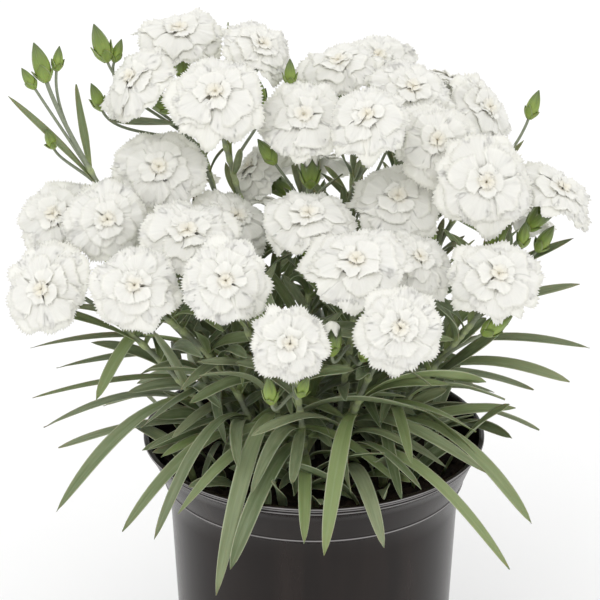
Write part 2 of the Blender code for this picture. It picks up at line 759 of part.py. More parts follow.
def mesh_from(name, points, faces):
    """A mesh whose faces all point outwards."""
    mesh = bpy.data.meshes.new(name)
    mesh.from_pydata([tuple(point) for point in points], [], faces)
    body = bmesh.new()
    body.from_mesh(mesh)
    bmesh.ops.recalc_face_normals(body, faces=body.faces)
    bmesh.ops.triangulate(body, faces=body.faces)
    body.to_mesh(mesh)
    body.free()
    return mesh


def whorl_edge(reach, height, turn, chance):
    """The toothed edge of a whorl of six petals: 24 points, notched between petals, waved up and down."""
    turns = np.arange(24) * 2 * math.pi / 24 + turn
    toothed = np.tile((0.86, 1.0, 0.93, 0.99), 6) * (1 + chance.uniform(-0.04, 0.04, 24))
    waved = np.tile((-1.6, 0.9, -0.4, 1.1), 6) * MM + np.repeat(chance.uniform(-1.0, 1.0, 6), 4) * MM
    spread = reach * toothed
    return np.stack((spread * np.cos(turns), spread * np.sin(turns), height + waved), axis=1)


def whorl_valley(reach, height, turn, chance):
    """The fold between two whorls: 12 points, near a circle."""
    turns = np.arange(12) * 2 * math.pi / 12 + turn
    spread = reach * (1 + chance.uniform(-0.06, 0.06, 12))
    return np.stack((spread * np.cos(turns), spread * np.sin(turns), np.full(12, height)), axis=1)


def make_bloom(number, bloom, collection, material):
    """A double bloom: three whorls of toothed petals, one inside the other, over a narrow neck."""
    chance = np.random.default_rng(300 + number)
    spread = bloom.width / 2 * MM
    turn = chance.uniform(0, math.pi / 3)
    half_petal = math.pi / 6
    rings = (
        whorl_valley(4.2 * MM, 0.0, turn, chance)[::2],
        whorl_edge(spread, 9.5 * MM, turn, chance),
        whorl_valley(spread * 0.56, 8.6 * MM, turn, chance),
        whorl_edge(spread * 0.78, 13.5 * MM, turn + half_petal, chance),
        whorl_valley(spread * 0.32, 11.2 * MM, turn + half_petal, chance)[::2],
        whorl_edge(spread * 0.47, 16.0 * MM, turn, chance)[::2],
    )
    name = f"bloom_{number:02d}"
    mesh = mesh_from(name, *stitch(rings, (0.0, 0.0, 0.0), (0.0, 0.0, 10.5 * MM)))
    shade(mesh, 50)
    made = add_object(name, mesh, collection, material)
    made.location = Vector(bloom.foot)
    made.rotation_euler = Vector(bloom.axis).to_track_quat("Z", "Y").to_euler()
    return made


def leaf_mesh(leaf):
    """A leaf from a pointed root inside its stem to its tip: flat above, with a keel underneath."""
    share = np.array(leaf.stations())
    line, sideways, face = leaf.directions(share)
    half = leaf.half_width(share)[:, None]
    keel = np.linspace(1.1, 0.7, len(share))[:, None] * MM
    left, right, under = line - sideways * half, line + sideways * half, line - face * keel
    rings = [np.stack(ring) for ring in zip(left, right, under)]
    return mesh_from("leaf", *stitch(rings, leaf.root, leaf.tip))


def tube_mesh(points, radii):
    """A stem along a line of points, made as a bevelled curve with six sides and turned into a mesh."""
    curve = bpy.data.curves.new("stem_line", "CURVE")
    curve.dimensions = "3D"
    curve.bevel_depth = 1.0 * MM
    curve.bevel_resolution = 1
    curve.use_fill_caps = True
    line = curve.splines.new("POLY")
    line.points.add(len(points) - 1)
    for knot, point, radius in zip(line.points, points, radii):
        knot.co = (*point, 1.0)
        knot.radius = radius / MM
    made = bpy.data.objects.new("stem_line", curve)
    bpy.context.scene.collection.objects.link(made)
    mesh = evaluated_mesh(made)
    bpy.data.objects.remove(made)
    bpy.data.curves.remove(curve)
    return mesh


def branch_mesh(branch, end, knots, sink):
    """A branch as a tapered tube that ends in its cup or bud; a main one starts down in its hole."""
    points = list(branch.points(knots))
    radii = list(np.linspace(branch.foot_radius, branch.tip_radius, knots))
    for distance, radius in end.profile():
        points.append(end.foot + end.axis * distance)
        radii.append(radius)
    if sink:
        points.insert(0, points[0] - np.array((0, 0, 2 * MM + SOCKET_DEPTH)))
        radii.insert(0, STEM_RADIUS)
    return tube_mesh(points, radii)


def keep_main_body(mesh):
    """Drops the loose scraps and sealed hollows that a union can leave, keeping the largest body."""
    body = bmesh.new()
    body.from_mesh(mesh)
    left = set(body.verts)
    groups = []
    while left:
        group, edge = set(), [left.pop()]
        while edge:
            point = edge.pop()
            group.add(point)
            joined = [link.other_vert(point) for link in point.link_edges]
            fresh = [other for other in joined if other in left]
            left.difference_update(fresh)
            edge.extend(fresh)
        groups.append(group)
    groups.sort(key=len)
    for group in groups[:-1]:
        bmesh.ops.delete(body, geom=list(group), context="VERTS")
    bmesh.ops.triangulate(body, faces=body.faces)
    body.to_mesh(mesh)
    body.free()


def fused(name, meshes, collection, material):
    """One body from overlapping closed meshes, by a Boolean union on a collection of the others."""
    others = bpy.data.collections.new(name + "_parts")
    bpy.context.scene.collection.children.link(others)
    for index, mesh in enumerate(meshes[1:]):
        add_object(f"{name}_part_{index}", mesh, others)
    made = add_object(name, meshes[0], collection, material)
    union = made.modifiers.new("Union", "BOOLEAN")
    union.operation = "UNION"
    union.operand_type = "COLLECTION"
    union.collection = others
    union.solver = "MANIFOLD"
    whole = settled(made, material)
    for part in list(others.objects):
        bpy.data.objects.remove(part)
    bpy.data.collections.remove(others)
    keep_main_body(whole)
    shade(whole, 50)
    return made


def make_stem(plant, stem, collection, material):
    """A leafy stem: its branches, cups, buds and leaves, fused."""
    grown = list(zip(plant.branches[stem], plant.ends[stem]))
    meshes = [branch_mesh(*grown[0], MAIN_KNOTS, True)]
    meshes += [branch_mesh(branch, end, FORK_KNOTS, False) for branch, end in grown[1:]]
    meshes += [leaf_mesh(leaf) for leaf in plant.leaves[stem]]
    return fused(f"stem_{stem:02d}", meshes, collection, material)


def main():
    """Clears the scene and builds the plant and its pot."""
    for old in list(bpy.data.objects):
        bpy.data.objects.remove(old)
    parts = bpy.data.collections.new("dianthus")
    cutters = bpy.data.collections.new("cutters")
    bpy.context.scene.collection.children.link(parts)
    bpy.context.scene.collection.children.link(cutters)
    plant = Plant()
    root = bpy.data.objects.new("dianthus_root", None)
    parts.objects.link(root)
    pieces = [make_pot(parts), make_soil(plant, parts, cutters)]
    petals = finish("petal_white", (0.86, 0.85, 0.80), 0.6)
    pieces += [make_bloom(index + 1, bloom, parts, petals) for index, bloom in enumerate(plant.blooms)]
    green = finish("leaf_green", (0.09, 0.16, 0.07), 0.5)
    pieces += [make_stem(plant, stem, parts, green) for stem in plant.feet]
    for piece in pieces:
        piece.parent = root


main()
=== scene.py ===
"""The looks of a double white dianthus in a dark nursery pot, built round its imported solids.

The plan of the plant, where each bloom, fork, bud and leaf stands, follows the same rules and seeds as
the solids, so every piece lies where the node that it stands for lies. Metres, +Z up, front at -Y.
"""

import itertools
import logging
import math
from collections.abc import Iterable, Iterator
from dataclasses import dataclass, field
from enum import Enum
from typing import NamedTuple

import bpy
import numpy as np
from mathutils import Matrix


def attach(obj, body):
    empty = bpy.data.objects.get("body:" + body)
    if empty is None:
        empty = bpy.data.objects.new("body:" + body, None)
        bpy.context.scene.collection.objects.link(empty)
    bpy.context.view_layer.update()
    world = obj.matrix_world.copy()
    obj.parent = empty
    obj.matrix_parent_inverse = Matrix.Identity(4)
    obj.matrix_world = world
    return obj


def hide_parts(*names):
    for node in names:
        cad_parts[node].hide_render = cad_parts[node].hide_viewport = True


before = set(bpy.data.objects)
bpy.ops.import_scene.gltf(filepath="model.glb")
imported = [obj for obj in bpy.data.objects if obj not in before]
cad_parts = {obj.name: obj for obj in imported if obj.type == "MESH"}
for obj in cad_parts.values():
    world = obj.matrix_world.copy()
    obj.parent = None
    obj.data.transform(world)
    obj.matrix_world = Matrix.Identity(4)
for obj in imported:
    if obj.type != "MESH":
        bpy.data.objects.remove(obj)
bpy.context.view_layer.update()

LOG = logging.getLogger("dianthus")
MM = 0.001
SEAT_GAP = 0.3 * MM
Points = np.ndarray
Faces = list[np.ndarray]
Stop = tuple[float, float]
Socket = bpy.types.NodeSocket
Material = bpy.types.Material
UP = np.array((0.0, 0.0, 1.0))

# An arching leaf bends at this share of its size, and an added one's bend may move aside by the next.
BEND_SHARE = 0.45
SWAY = 0.18

# How deep light passes into leaves and cups.
LEAF_PASSING_DEPTH = 0.8 * MM


class Bloom(NamedTuple):
    """A bloom: its stem, its middle in the front view, its depth, its lean and its width (mm, degrees)."""

    stem: int
    across: float
    up: float
    depth: float
    toward: float
    tilt: float
    width: float


class BudState(Enum):
    """How far a bud has opened."""

    CLOSED = 0
    SHOWING = 1


class Bud(NamedTuple):
    """A bud: its stem, its middle in the front view, its depth, its lean, its length and its state."""

    stem: int
    across: float
    up: float
    depth: float
    toward: float
    tilt: float
    length: float
    state: BudState = BudState.CLOSED


class LongLeaf(NamedTuple):
    """A long leaf: its stem, the height of its root, its tip in the front view, its width and its arch."""

    stem: int
    height: float
    across: float
    up: float
    depth: float
    width: float
    arch: float


BLOOMS = tuple(
    Bloom(*row)
    for row in (
        (1, -60, 131, 45, -100, 15, 46), (1, -81, 108, 25, -150, 45, 43), (2, -42, 101, 15, -95, 40, 48),
        (2, -21, 124, 50, -40, 35, 40), (3, 2, 89, 5, -90, 35, 46), (5, 35, 89, 2, -110, 35, 41),
        (10, -70, 64, -12, -95, 45, 46), (4, 20, 115, 50, -120, 20, 42), (4, 39, 118, 62, -90, 25, 42),
        (5, 55, 103, 35, -70, 35, 42), (6, 75, 105, 60, 30, 35, 38), (6, 90, 94, 35, -30, 55, 42),
        (7, 68, 78, 14, -85, 50, 43), (8, 92, 58, -8, -80, 60, 48), (9, 128, 52, 10, -25, 35, 42),
        (3, -21, 64, 20, -160, 50, 36), (11, -121, 41, 0, -115, 50, 42), (11, -96, 39, -22, -90, 55, 42),
        (12, -126, 5, -28, -120, 65, 46), (13, -82, 6, -62, -95, 55, 43), (14, -56, 31, -36, -90, 30, 48),
        (14, -33, 38, -12, -50, 30, 42), (15, -37, 9, -74, -90, 60, 43), (16, 4, 39, -22, -90, 22, 44),
        (7, 49, 48, -26, -90, 30, 49), (17, 28, 16, -54, -90, 27, 52), (17, 58, 18, -36, -60, 35, 38),
        (18, 98, 10, -46, -75, 38, 45), (19, -5, -22, -98, -90, 65, 38), (20, 50, -14, -92, -90, 65, 41),
        (10, -100, 50, 36, 150, 35, 40), (22, -30, 46, 78, 120, 30, 42), (22, -64, 58, 92, 115, 35, 44),
        (22, 8, 66, 104, 90, 35, 44), (6, 66, 58, 96, 75, 40, 44), (8, 108, 44, 62, 40, 45, 42),
    )
)

BUDS = tuple(
    Bud(*row)
    for row in (
        (21, -130, 119, 20, 150, 20, 20), (21, -121, 121, 24, 60, 15, 12), (21, -136, 111, 16, 180, 30, 12),
        (21, -125, 81, 14, -120, 25, 13), (1, -100, 129, 58, 160, 20, 20), (1, -91, 125, 64, 20, 20, 12),
        (1, -102, 102, 48, 180, 20, 15), (2, -21, 106, 50, 160, 10, 16), (3, -17, 75, 10, 170, 35, 15),
        (4, -5, 114, 44, 90, 10, 13), (16, 5, 66, 6, -90, 5, 20, BudState.SHOWING),
        (8, 117, 98, 30, 20, 20, 15), (9, 112, 33, 6, -60, 10, 14), (9, 123, 31, 14, -10, 30, 16),
        (7, 66, 32, -4, -30, 10, 14), (18, 99, -12, -40, 0, 55, 18),
        (17, 16, -19, -72, -90, 5, 18, BudState.SHOWING), (17, 33, -26, -66, -60, 30, 12),
        (19, -15, -45, -88, -120, 10, 15), (19, 2, -43, -92, -40, 25, 13),
    )
)

LONG_LEAVES = tuple(
    LongLeaf(*row)
    for row in (
        (12, 186, -122, -106, -36, 8.5, 0.30), (12, 172, -121, -74, -10, 5.5, 0.15),
        (13, 174, -89, -116, -70, 7.0, 0.32), (13, 182, -73, -120, -86, 5.0, 0.45),
        (11, 188, -134, -49, 0, 3.5, 0.12), (11, 212, -102, -50, -24, 6.5, 0.55),
        (11, 204, -135, -24, 6, 3.2, 0.15), (10, 196, -122, -34, 24, 4.5, 0.12),
        (18, 178, 116, -112, -46, 7.5, 0.38), (20, 170, 105, -135, -76, 6.5, 0.35),
        (9, 204, 145, -24, 0, 5.0, 0.16), (9, 190, 135, -41, -22, 7.5, 0.24),
        (8, 184, 117, -45, 6, 6.0, 0.22), (18, 170, 108, -54, -8, 7.0, 0.15),
        (9, 178, 104, -12, -26, 7.5, 0.0), (15, 188, -42, -148, -104, 8.8, 0.42),
        (19, 176, -35, -135, -108, 8.5, 0.34), (19, 168, 2, -122, -108, 6.5, 0.30),
        (20, 190, 12, -128, -110, 8.8, 0.36), (20, 160, 42, -124, -106, 7.8, 0.34),
        (16, 204, -25, -99, -84, 8.0, 0.12), (19, 186, -4, -92, -84, 5.5, 0.14),
        (17, 188, 26, -88, -84, 5.5, 0.10), (14, 196, -56, -77, -66, 8.0, 0.16),
        (10, 176, -64, -69, -40, 5.0, 0.2), (1, 300, -96, 90, 40, 5.0, 0.0),
        (2, 300, -36, 139, 58, 3.6, 0.0), (4, 300, -12, 130, 60, 3.6, 0.0),
        (21, 292, -146, 102, 16, 3.4, 0.05), (21, 300, -112, 108, 22, 3.4, 0.0),
        (9, 236, 137, 31, 20, 5.0, 0.05), (8, 270, 98, 31, 16, 4.5, 0.0),
        (5, 270, 30, 70, 10, 5.0, 0.0), (7, 250, 76, 47, 6, 4.5, 0.0),
        (8, 268, 112, 80, 30, 4.0, 0.0), (21, 230, -141, 60, 24, 4.0, 0.05),
        (12, 214, -147, -2, -20, 5.0, 0.12), (9, 212, 140, 8, -6, 6.0, 0.12),
    )
)


@dataclass(frozen=True)
class FrontView:
    """The front view that the plant's places are read in, which is the camera's own."""

    target: tuple[float, float, float] = (-7.0, 20.0, 228.3)
    rise: float = 23.75
    distance: float = 1.8
    lens: float = 216.0
    sensor: float = 36.0

    def axes(self) -> tuple[Points, Points]:
        """Forward and up directions of the view."""
        sine, cosine = math.sin(math.radians(self.rise)), math.cos(math.radians(self.rise))
        return np.array((0.0, cosine, -sine)), np.array((0.0, sine, cosine))

    def eye(self) -> Points:
        """Where the camera stands."""
        return np.array(self.target) * MM - self.distance * self.axes()[0]

    def point(self, across: float, up: float, depth: float) -> Points:
        """The point at world Y = depth that the view shows at `across`, `up`.

        Args:
            across: distance to the right of the target, in mm.
            up: distance above the target, in mm.
            depth: world Y, in mm.

        Returns:
            The point in metres.
        """
        forward, upward = self.axes()
        sight = self.distance * forward + np.array((across, 0.0, 0.0)) * MM + up * MM * upward
        return self.eye() + sight * ((depth * MM - self.eye()[1]) / sight[1])


FRONT = FrontView()


def leaning(toward: float, tilt: float) -> Points:
    """A unit direction that leans `tilt` degrees from upright, to the compass direction `toward`."""
    turn, lean = math.radians(toward), math.radians(tilt)
    return np.array((math.cos(turn) * math.sin(lean), math.sin(turn) * math.sin(lean), math.cos(lean)))


def circle(count: int) -> Points:
    """Angles at even steps round a full turn."""
    return np.linspace(0, 2 * math.pi, count, endpoint=False)


def unit(vectors: Points) -> Points:
    """The direction of one vector, or of each vector of a grid.

    Args:
        vectors: one vector, or a grid of them.

    Returns:
        The same with lengths of 1.
    """
    if vectors.ndim == 1:
        return vectors / np.linalg.norm(vectors)
    return vectors / np.maximum(np.linalg.norm(vectors, axis=-1, keepdims=True), 1e-12)


def frame_along(axis: Points) -> tuple[Points, Points]:
    """Two unit directions square to an axis."""
    side = unit(np.cross(axis, (0.0, 0.0, 1.0) if abs(axis[2]) < 0.95 else (1.0, 0.0, 0.0)))
    return side, np.cross(axis, side)


def around(side: Points, other: Points, turns: Points) -> Points:
    """Directions round an axis: `side` times the cosine of each turn plus `other` times its sine."""
    return side * np.cos(turns)[..., None] + other * np.sin(turns)[..., None]


def turned(profile: Points, sides: int) -> Points:
    """Rings about the Z axis: each point of a profile of radii and heights goes round a circle.

    Args:
        profile: radius and height of each point.
        sides: how many points each ring has.

    Returns:
        The points as profile points x sides x 3.
    """
    flat = profile[:, :1, None] * np.stack((np.cos(circle(sides)), np.sin(circle(sides))), axis=-1)
    heights = np.broadcast_to(profile[:, 1:, None], (len(profile), sides, 1))
    return np.concatenate((flat, heights), axis=2)


def bezier(points: Iterable[Points], share: Points) -> Points:
    """Points of a Bezier curve of any degree: neighbours are blended by the share until one is left.

    Args:
        points: the curve's control points.
        share: how far along it each point stands.

    Returns:
        The points.
    """
    layers = [np.outer(np.ones_like(share), point) for point in points]
    while len(layers) > 1:
        layers = [a + (b - a) * share[:, None] for a, b in zip(layers, layers[1:])]
    return layers[0]


def run_along(line: Points) -> Points:
    """How far along a line each of its points lies: the lengths of its steps, added up."""
    return np.concatenate(([0.0], np.cumsum(np.linalg.norm(np.diff(line, axis=0), axis=1))))


def arch(root: Points, turn: float, size: float, slopes: Points) -> tuple[Points, Points]:
    """The bend and the tip of an arching leaf.

    Args:
        root: where the leaf leaves its stem.
        turn: the compass angle that it points to.
        size: how far its tip lies from its root.
        slopes: how far the bend and the tip rise from the root, as angles.

    Returns:
        The bend and the tip.
    """
    out = np.array((math.cos(turn), math.sin(turn), 0.0))
    first, mean = (out * math.cos(slope) + UP * math.sin(slope) for slope in slopes)
    return root + size * BEND_SHARE * first, root + size * mean


@dataclass
class Room:
    """Keeps the pieces of the plant clear of each other, cell by cell."""

    cell: float = 1.5 * MM
    corner: Points = field(default_factory=lambda: np.array((-190.0, -190.0, 90.0)) * MM)
    size: tuple[int, int, int] = (254, 254, 200)
    bloom_owner: int = 100
    leaf_owner: int = 1000

    def __post_init__(self) -> None:
        """Starts with every cell free."""
        self.cells = np.zeros(self.size, np.int16)

    def cell_of(self, points: Points) -> Points:
        """The cell that each point lies in."""
        return np.floor((points - self.corner) / self.cell).astype(int)

    def crowding(self, points: Points, *owners: int) -> int:
        """How many of the points lie in a cell that none of these owners holds."""
        held = self.cells[tuple(self.cell_of(points).T)]
        return int(np.sum(~np.isin(held, (0, *owners))))

    def claim(self, points: Points, owner: int, margin: int = 1) -> None:
        """Gives the owner the free cells at the points and up to `margin` cells from them.

        Args:
            points: where the owner's shape lies.
            owner: the owner's number.
            margin: how many cells further it reaches.
        """
        steps = np.array(list(itertools.product(range(-margin, margin + 1), repeat=3)))
        cells = self.cell_of(points)[:, None, :] + steps[None, :, :]
        index = tuple(cells.reshape(-1, 3).T)
        self.cells[index] = np.where(self.cells[index] == 0, owner, self.cells[index])


@dataclass(frozen=True)
class PotSizes:
    """The pot's and the soil's sizes, as the solids have them."""

    height: float = 165 * MM
    rim_radius: float = 85.5 * MM
    band_height: float = 24.5 * MM
    band_foot_radius: float = 74.5 * MM
    body_top_radius: float = 72.8 * MM
    body_foot_radius: float = 65.5 * MM
    wall: float = 1.6 * MM
    floor: float = 2.5 * MM
    lip: float = 2.2 * MM
    soil_top: float = 150 * MM
    soil_crown: float = 3 * MM
    socket_depth: float = 12 * MM

    @property
    def band_foot(self) -> float:
        """Height of the flared band's lower edge."""
        return self.height - self.band_height

    def clear(self, points: Points, room: float) -> bool:
        """Whether the points stay `room` away from the soil, the pot's wall and its rim.

        Args:
            points: points of a leaf.
            room: the least distance.

        Returns:
            True if all of them do.
        """
        reach, height = np.hypot(points[:, 0], points[:, 1]), points[:, 2]
        heights = (0.0, self.band_foot, self.band_foot + 0.5 * MM, self.height)
        radii = (self.body_foot_radius, self.body_top_radius, self.band_foot_radius, self.rim_radius)
        outer = np.interp(np.minimum(height, self.height), heights, radii)
        outside = reach > outer + room
        inside = reach < outer - self.wall - self.lip - room
        inside &= height > self.soil_top + self.soil_crown + room
        return bool(np.all((height > self.height + room) | outside | inside))


POT = PotSizes()


@dataclass(frozen=True)
class CupSizes:
    """The green cup under a bloom, and the bloom's height."""

    length: float = 15 * MM
    radius: float = 5.6 * MM
    bloom_height: float = 17 * MM


CUP = CupSizes()


class SetBloom(NamedTuple):
    """A bloom in its place: its foot on its cup, the direction it faces, its width and its stem."""

    foot: Points
    axis: Points
    width: float
    stem: int


class Branch(NamedTuple):
    """A stem or one of its forks: the control points of its curve, and its thickness at both ends."""

    controls: tuple[Points, ...]
    foot_radius: float
    tip_radius: float

    def points(self, count: int) -> Points:
        """Points along the branch."""
        return bezier(self.controls, np.linspace(0, 1, count))


class End(NamedTuple):
    """What a branch ends in, a bloom's cup or a bud: its foot, direction, length, bloom and state."""

    foot: Points
    axis: Points
    length: float
    bloom: int | None
    state: BudState = BudState.CLOSED

    def points(self) -> Points:
        """Points along the middle and down the sides of the cup or bud.

        Returns:
            The points, the middle line first.
        """
        side, other = frame_along(self.axis)
        middle = self.foot + np.outer(np.linspace(0, 0.9, 12) * self.length, self.axis)
        reach = 0.55 * CUP.radius if self.bloom is not None else 0.18 * self.length
        sides = [middle[5:]] + [middle[5:] + part * reach for part in (side, -side, other, -other)]
        return np.concatenate((middle, *sides))


class Leaf(NamedTuple):
    """A narrow leaf along a curve from its root, past its bend, to its tip, rolled by some degrees.

    The grown leaf may be slimmer than its solid, and a leaf that the photo shows turns its face forward.
    """

    root: Points
    bend: Points
    tip: Points
    width: float
    roll: float
    slim: float = 1.0
    shown: bool = False

    def half_width(self, share: Points) -> Points:
        """Half the leaf's width: narrow at the root, soon full, then drawn to a short point."""
        return self.width / 2 * np.minimum(1.0, 0.34 + 4.0 * share) * (1 - share**3) ** 0.8

    def directions(self, share: Points, twist: float = 0.0) -> tuple[Points, Points, Points]:
        """The middle line, and the blade's sideways and upward directions, twisted more towards the tip.

        Args:
            share: where along the curve the points stand.
            twist: turn at the tip on top of the leaf's roll, in degrees.

        Returns:
            The points of the line, and the two unit directions at each.
        """
        line = bezier((self.root, self.bend, self.tip), share)
        ahead = unit((1 - share)[:, None] * (self.bend - self.root) + share[:, None] * (self.tip - self.bend))
        away = self.tip - self.root
        level = np.array((-away[1], away[0], 0.0)) / np.hypot(away[0], away[1])
        level = np.broadcast_to(level, ahead.shape)
        face = unit(np.cross(ahead, level))
        roll = math.radians(self.roll + twist) * share[:, None]
        sideways = level * np.cos(roll) + face * np.sin(roll)
        return line, sideways, face * np.cos(roll) - level * np.sin(roll)

    def even_shares(self, count: int) -> Points:
        """Shares that stand at even distances along the leaf.

        Args:
            count: how many.

        Returns:
            The shares, from 0 at the root.
        """
        fine = np.linspace(0, 1, 80)
        run = run_along(bezier((self.root, self.bend, self.tip), fine))
        return np.interp(np.linspace(0, run[-1] * 0.998, count), run, fine)

    def twist(self, chance: np.random.Generator) -> float:
        """How far the grown leaf twists towards its tip, mostly so that its face shows in front (degrees).

        Args:
            chance: the draw, used where the photo doesn't show the leaf.

        Returns:
            The twist.
        """
        away = self.tip - self.root
        forward = math.copysign(1.0, away[0])
        if self.shown:
            return forward * (25 + 60 * max(0.0, away[2] / np.linalg.norm(away)))
        return forward * chance.choice((1, 1, 1, -1)) * chance.uniform(15, 60)

    def grown_half_width(self, part: Points, bluntness: float) -> Points:
        """Half the grown leaf's width: narrow at its clasping root, then full, then drawn to a point."""
        full = (0.40 * self.width + 0.8 * MM) * self.slim
        return full * (0.5 + 0.5 * np.minimum(1.0, part / 0.4)) * (1 - part**bluntness) ** 0.75

    def blade(self, share: Points, across: int) -> Points:
        """Points of the flat blade on a grid: at each share along the leaf, from edge to edge.

        Args:
            share: where along the leaf each row stands.
            across: how many points a row has.

        Returns:
            The points as rows x columns x 3.
        """
        line, sideways, _ = self.directions(share)
        half = self.half_width(np.minimum(share, 0.999))
        reach = half[:, None] * np.linspace(-1, 1, across)[None, :]
        return line[:, None, :] + sideways[:, None, :] * reach[:, :, None]

    def stations(self) -> tuple[float, ...]:
        """Where along the leaf the solid's few cross sections stand, more of them on a longer leaf.

        Returns:
            Their shares of the leaf's length.
        """
        length = np.linalg.norm(self.tip - self.root)
        table = ((36 * MM, (0.4,)), (62 * MM, (0.18, 0.62)), (math.inf, (0.12, 0.4, 0.75)))
        return next(shares for longest, shares in table if length < longest)

    def faceted(self, count: int, across: int) -> Points:
        """Points of the blade with straight runs between its few cross sections.

        Args:
            count: how many rows.
            across: how many points a row has.

        Returns:
            The points as rows x columns x 3.
        """
        knots = np.array((0.0, *self.stations(), 1.0))
        sections = self.blade(knots, across)
        share = np.linspace(0, 1, count)
        after = np.clip(np.searchsorted(knots, share), 1, len(knots) - 1)
        part = ((share - knots[after - 1]) / (knots[after] - knots[after - 1]))[:, None, None]
        return sections[after - 1] * (1 - part) + sections[after] * part


class Pair(NamedTuple):
    """A pair of leaves: how far up its stem, how long and wide (mm), and how steep (degrees)."""

    distance: float
    length: float
    width: float
    root_slope: float
    mean_slope: float


class Tier(NamedTuple):
    """Added leaves of one height: how many a stem, tries, distances, lengths, widths and slopes."""

    leaves: int
    tries: int
    low: float
    high: float
    lengths: tuple[float, float]
    widths: tuple[float, float]
    root_slopes: tuple[float, float]
    mean_slopes: tuple[float, float]
    spread: float

    def leaf(self, root: Points, foot: Points, chance: np.random.Generator) -> Leaf:
        """Draws a leaf.

        Args:
            root: where the leaf starts.
            foot: the foot of what carries it; the leaf turns away from the axis there, within the spread.
            chance: the draw.

        Returns:
            The leaf, with its bend moved a little to one side.
        """
        turn = math.atan2(foot[1], foot[0]) + math.radians(chance.uniform(-self.spread, self.spread))
        size = chance.uniform(*self.lengths) * MM
        slopes = np.radians((chance.uniform(*self.root_slopes), chance.uniform(*self.mean_slopes)))
        bend, tip = arch(root, turn, size, slopes)
        aside = np.array((-math.sin(turn), math.cos(turn), 0.0))
        bend = bend + aside * size * chance.uniform(-SWAY, SWAY)
        return Leaf(root, bend, tip, chance.uniform(*self.widths) * MM, chance.uniform(-35, 35))


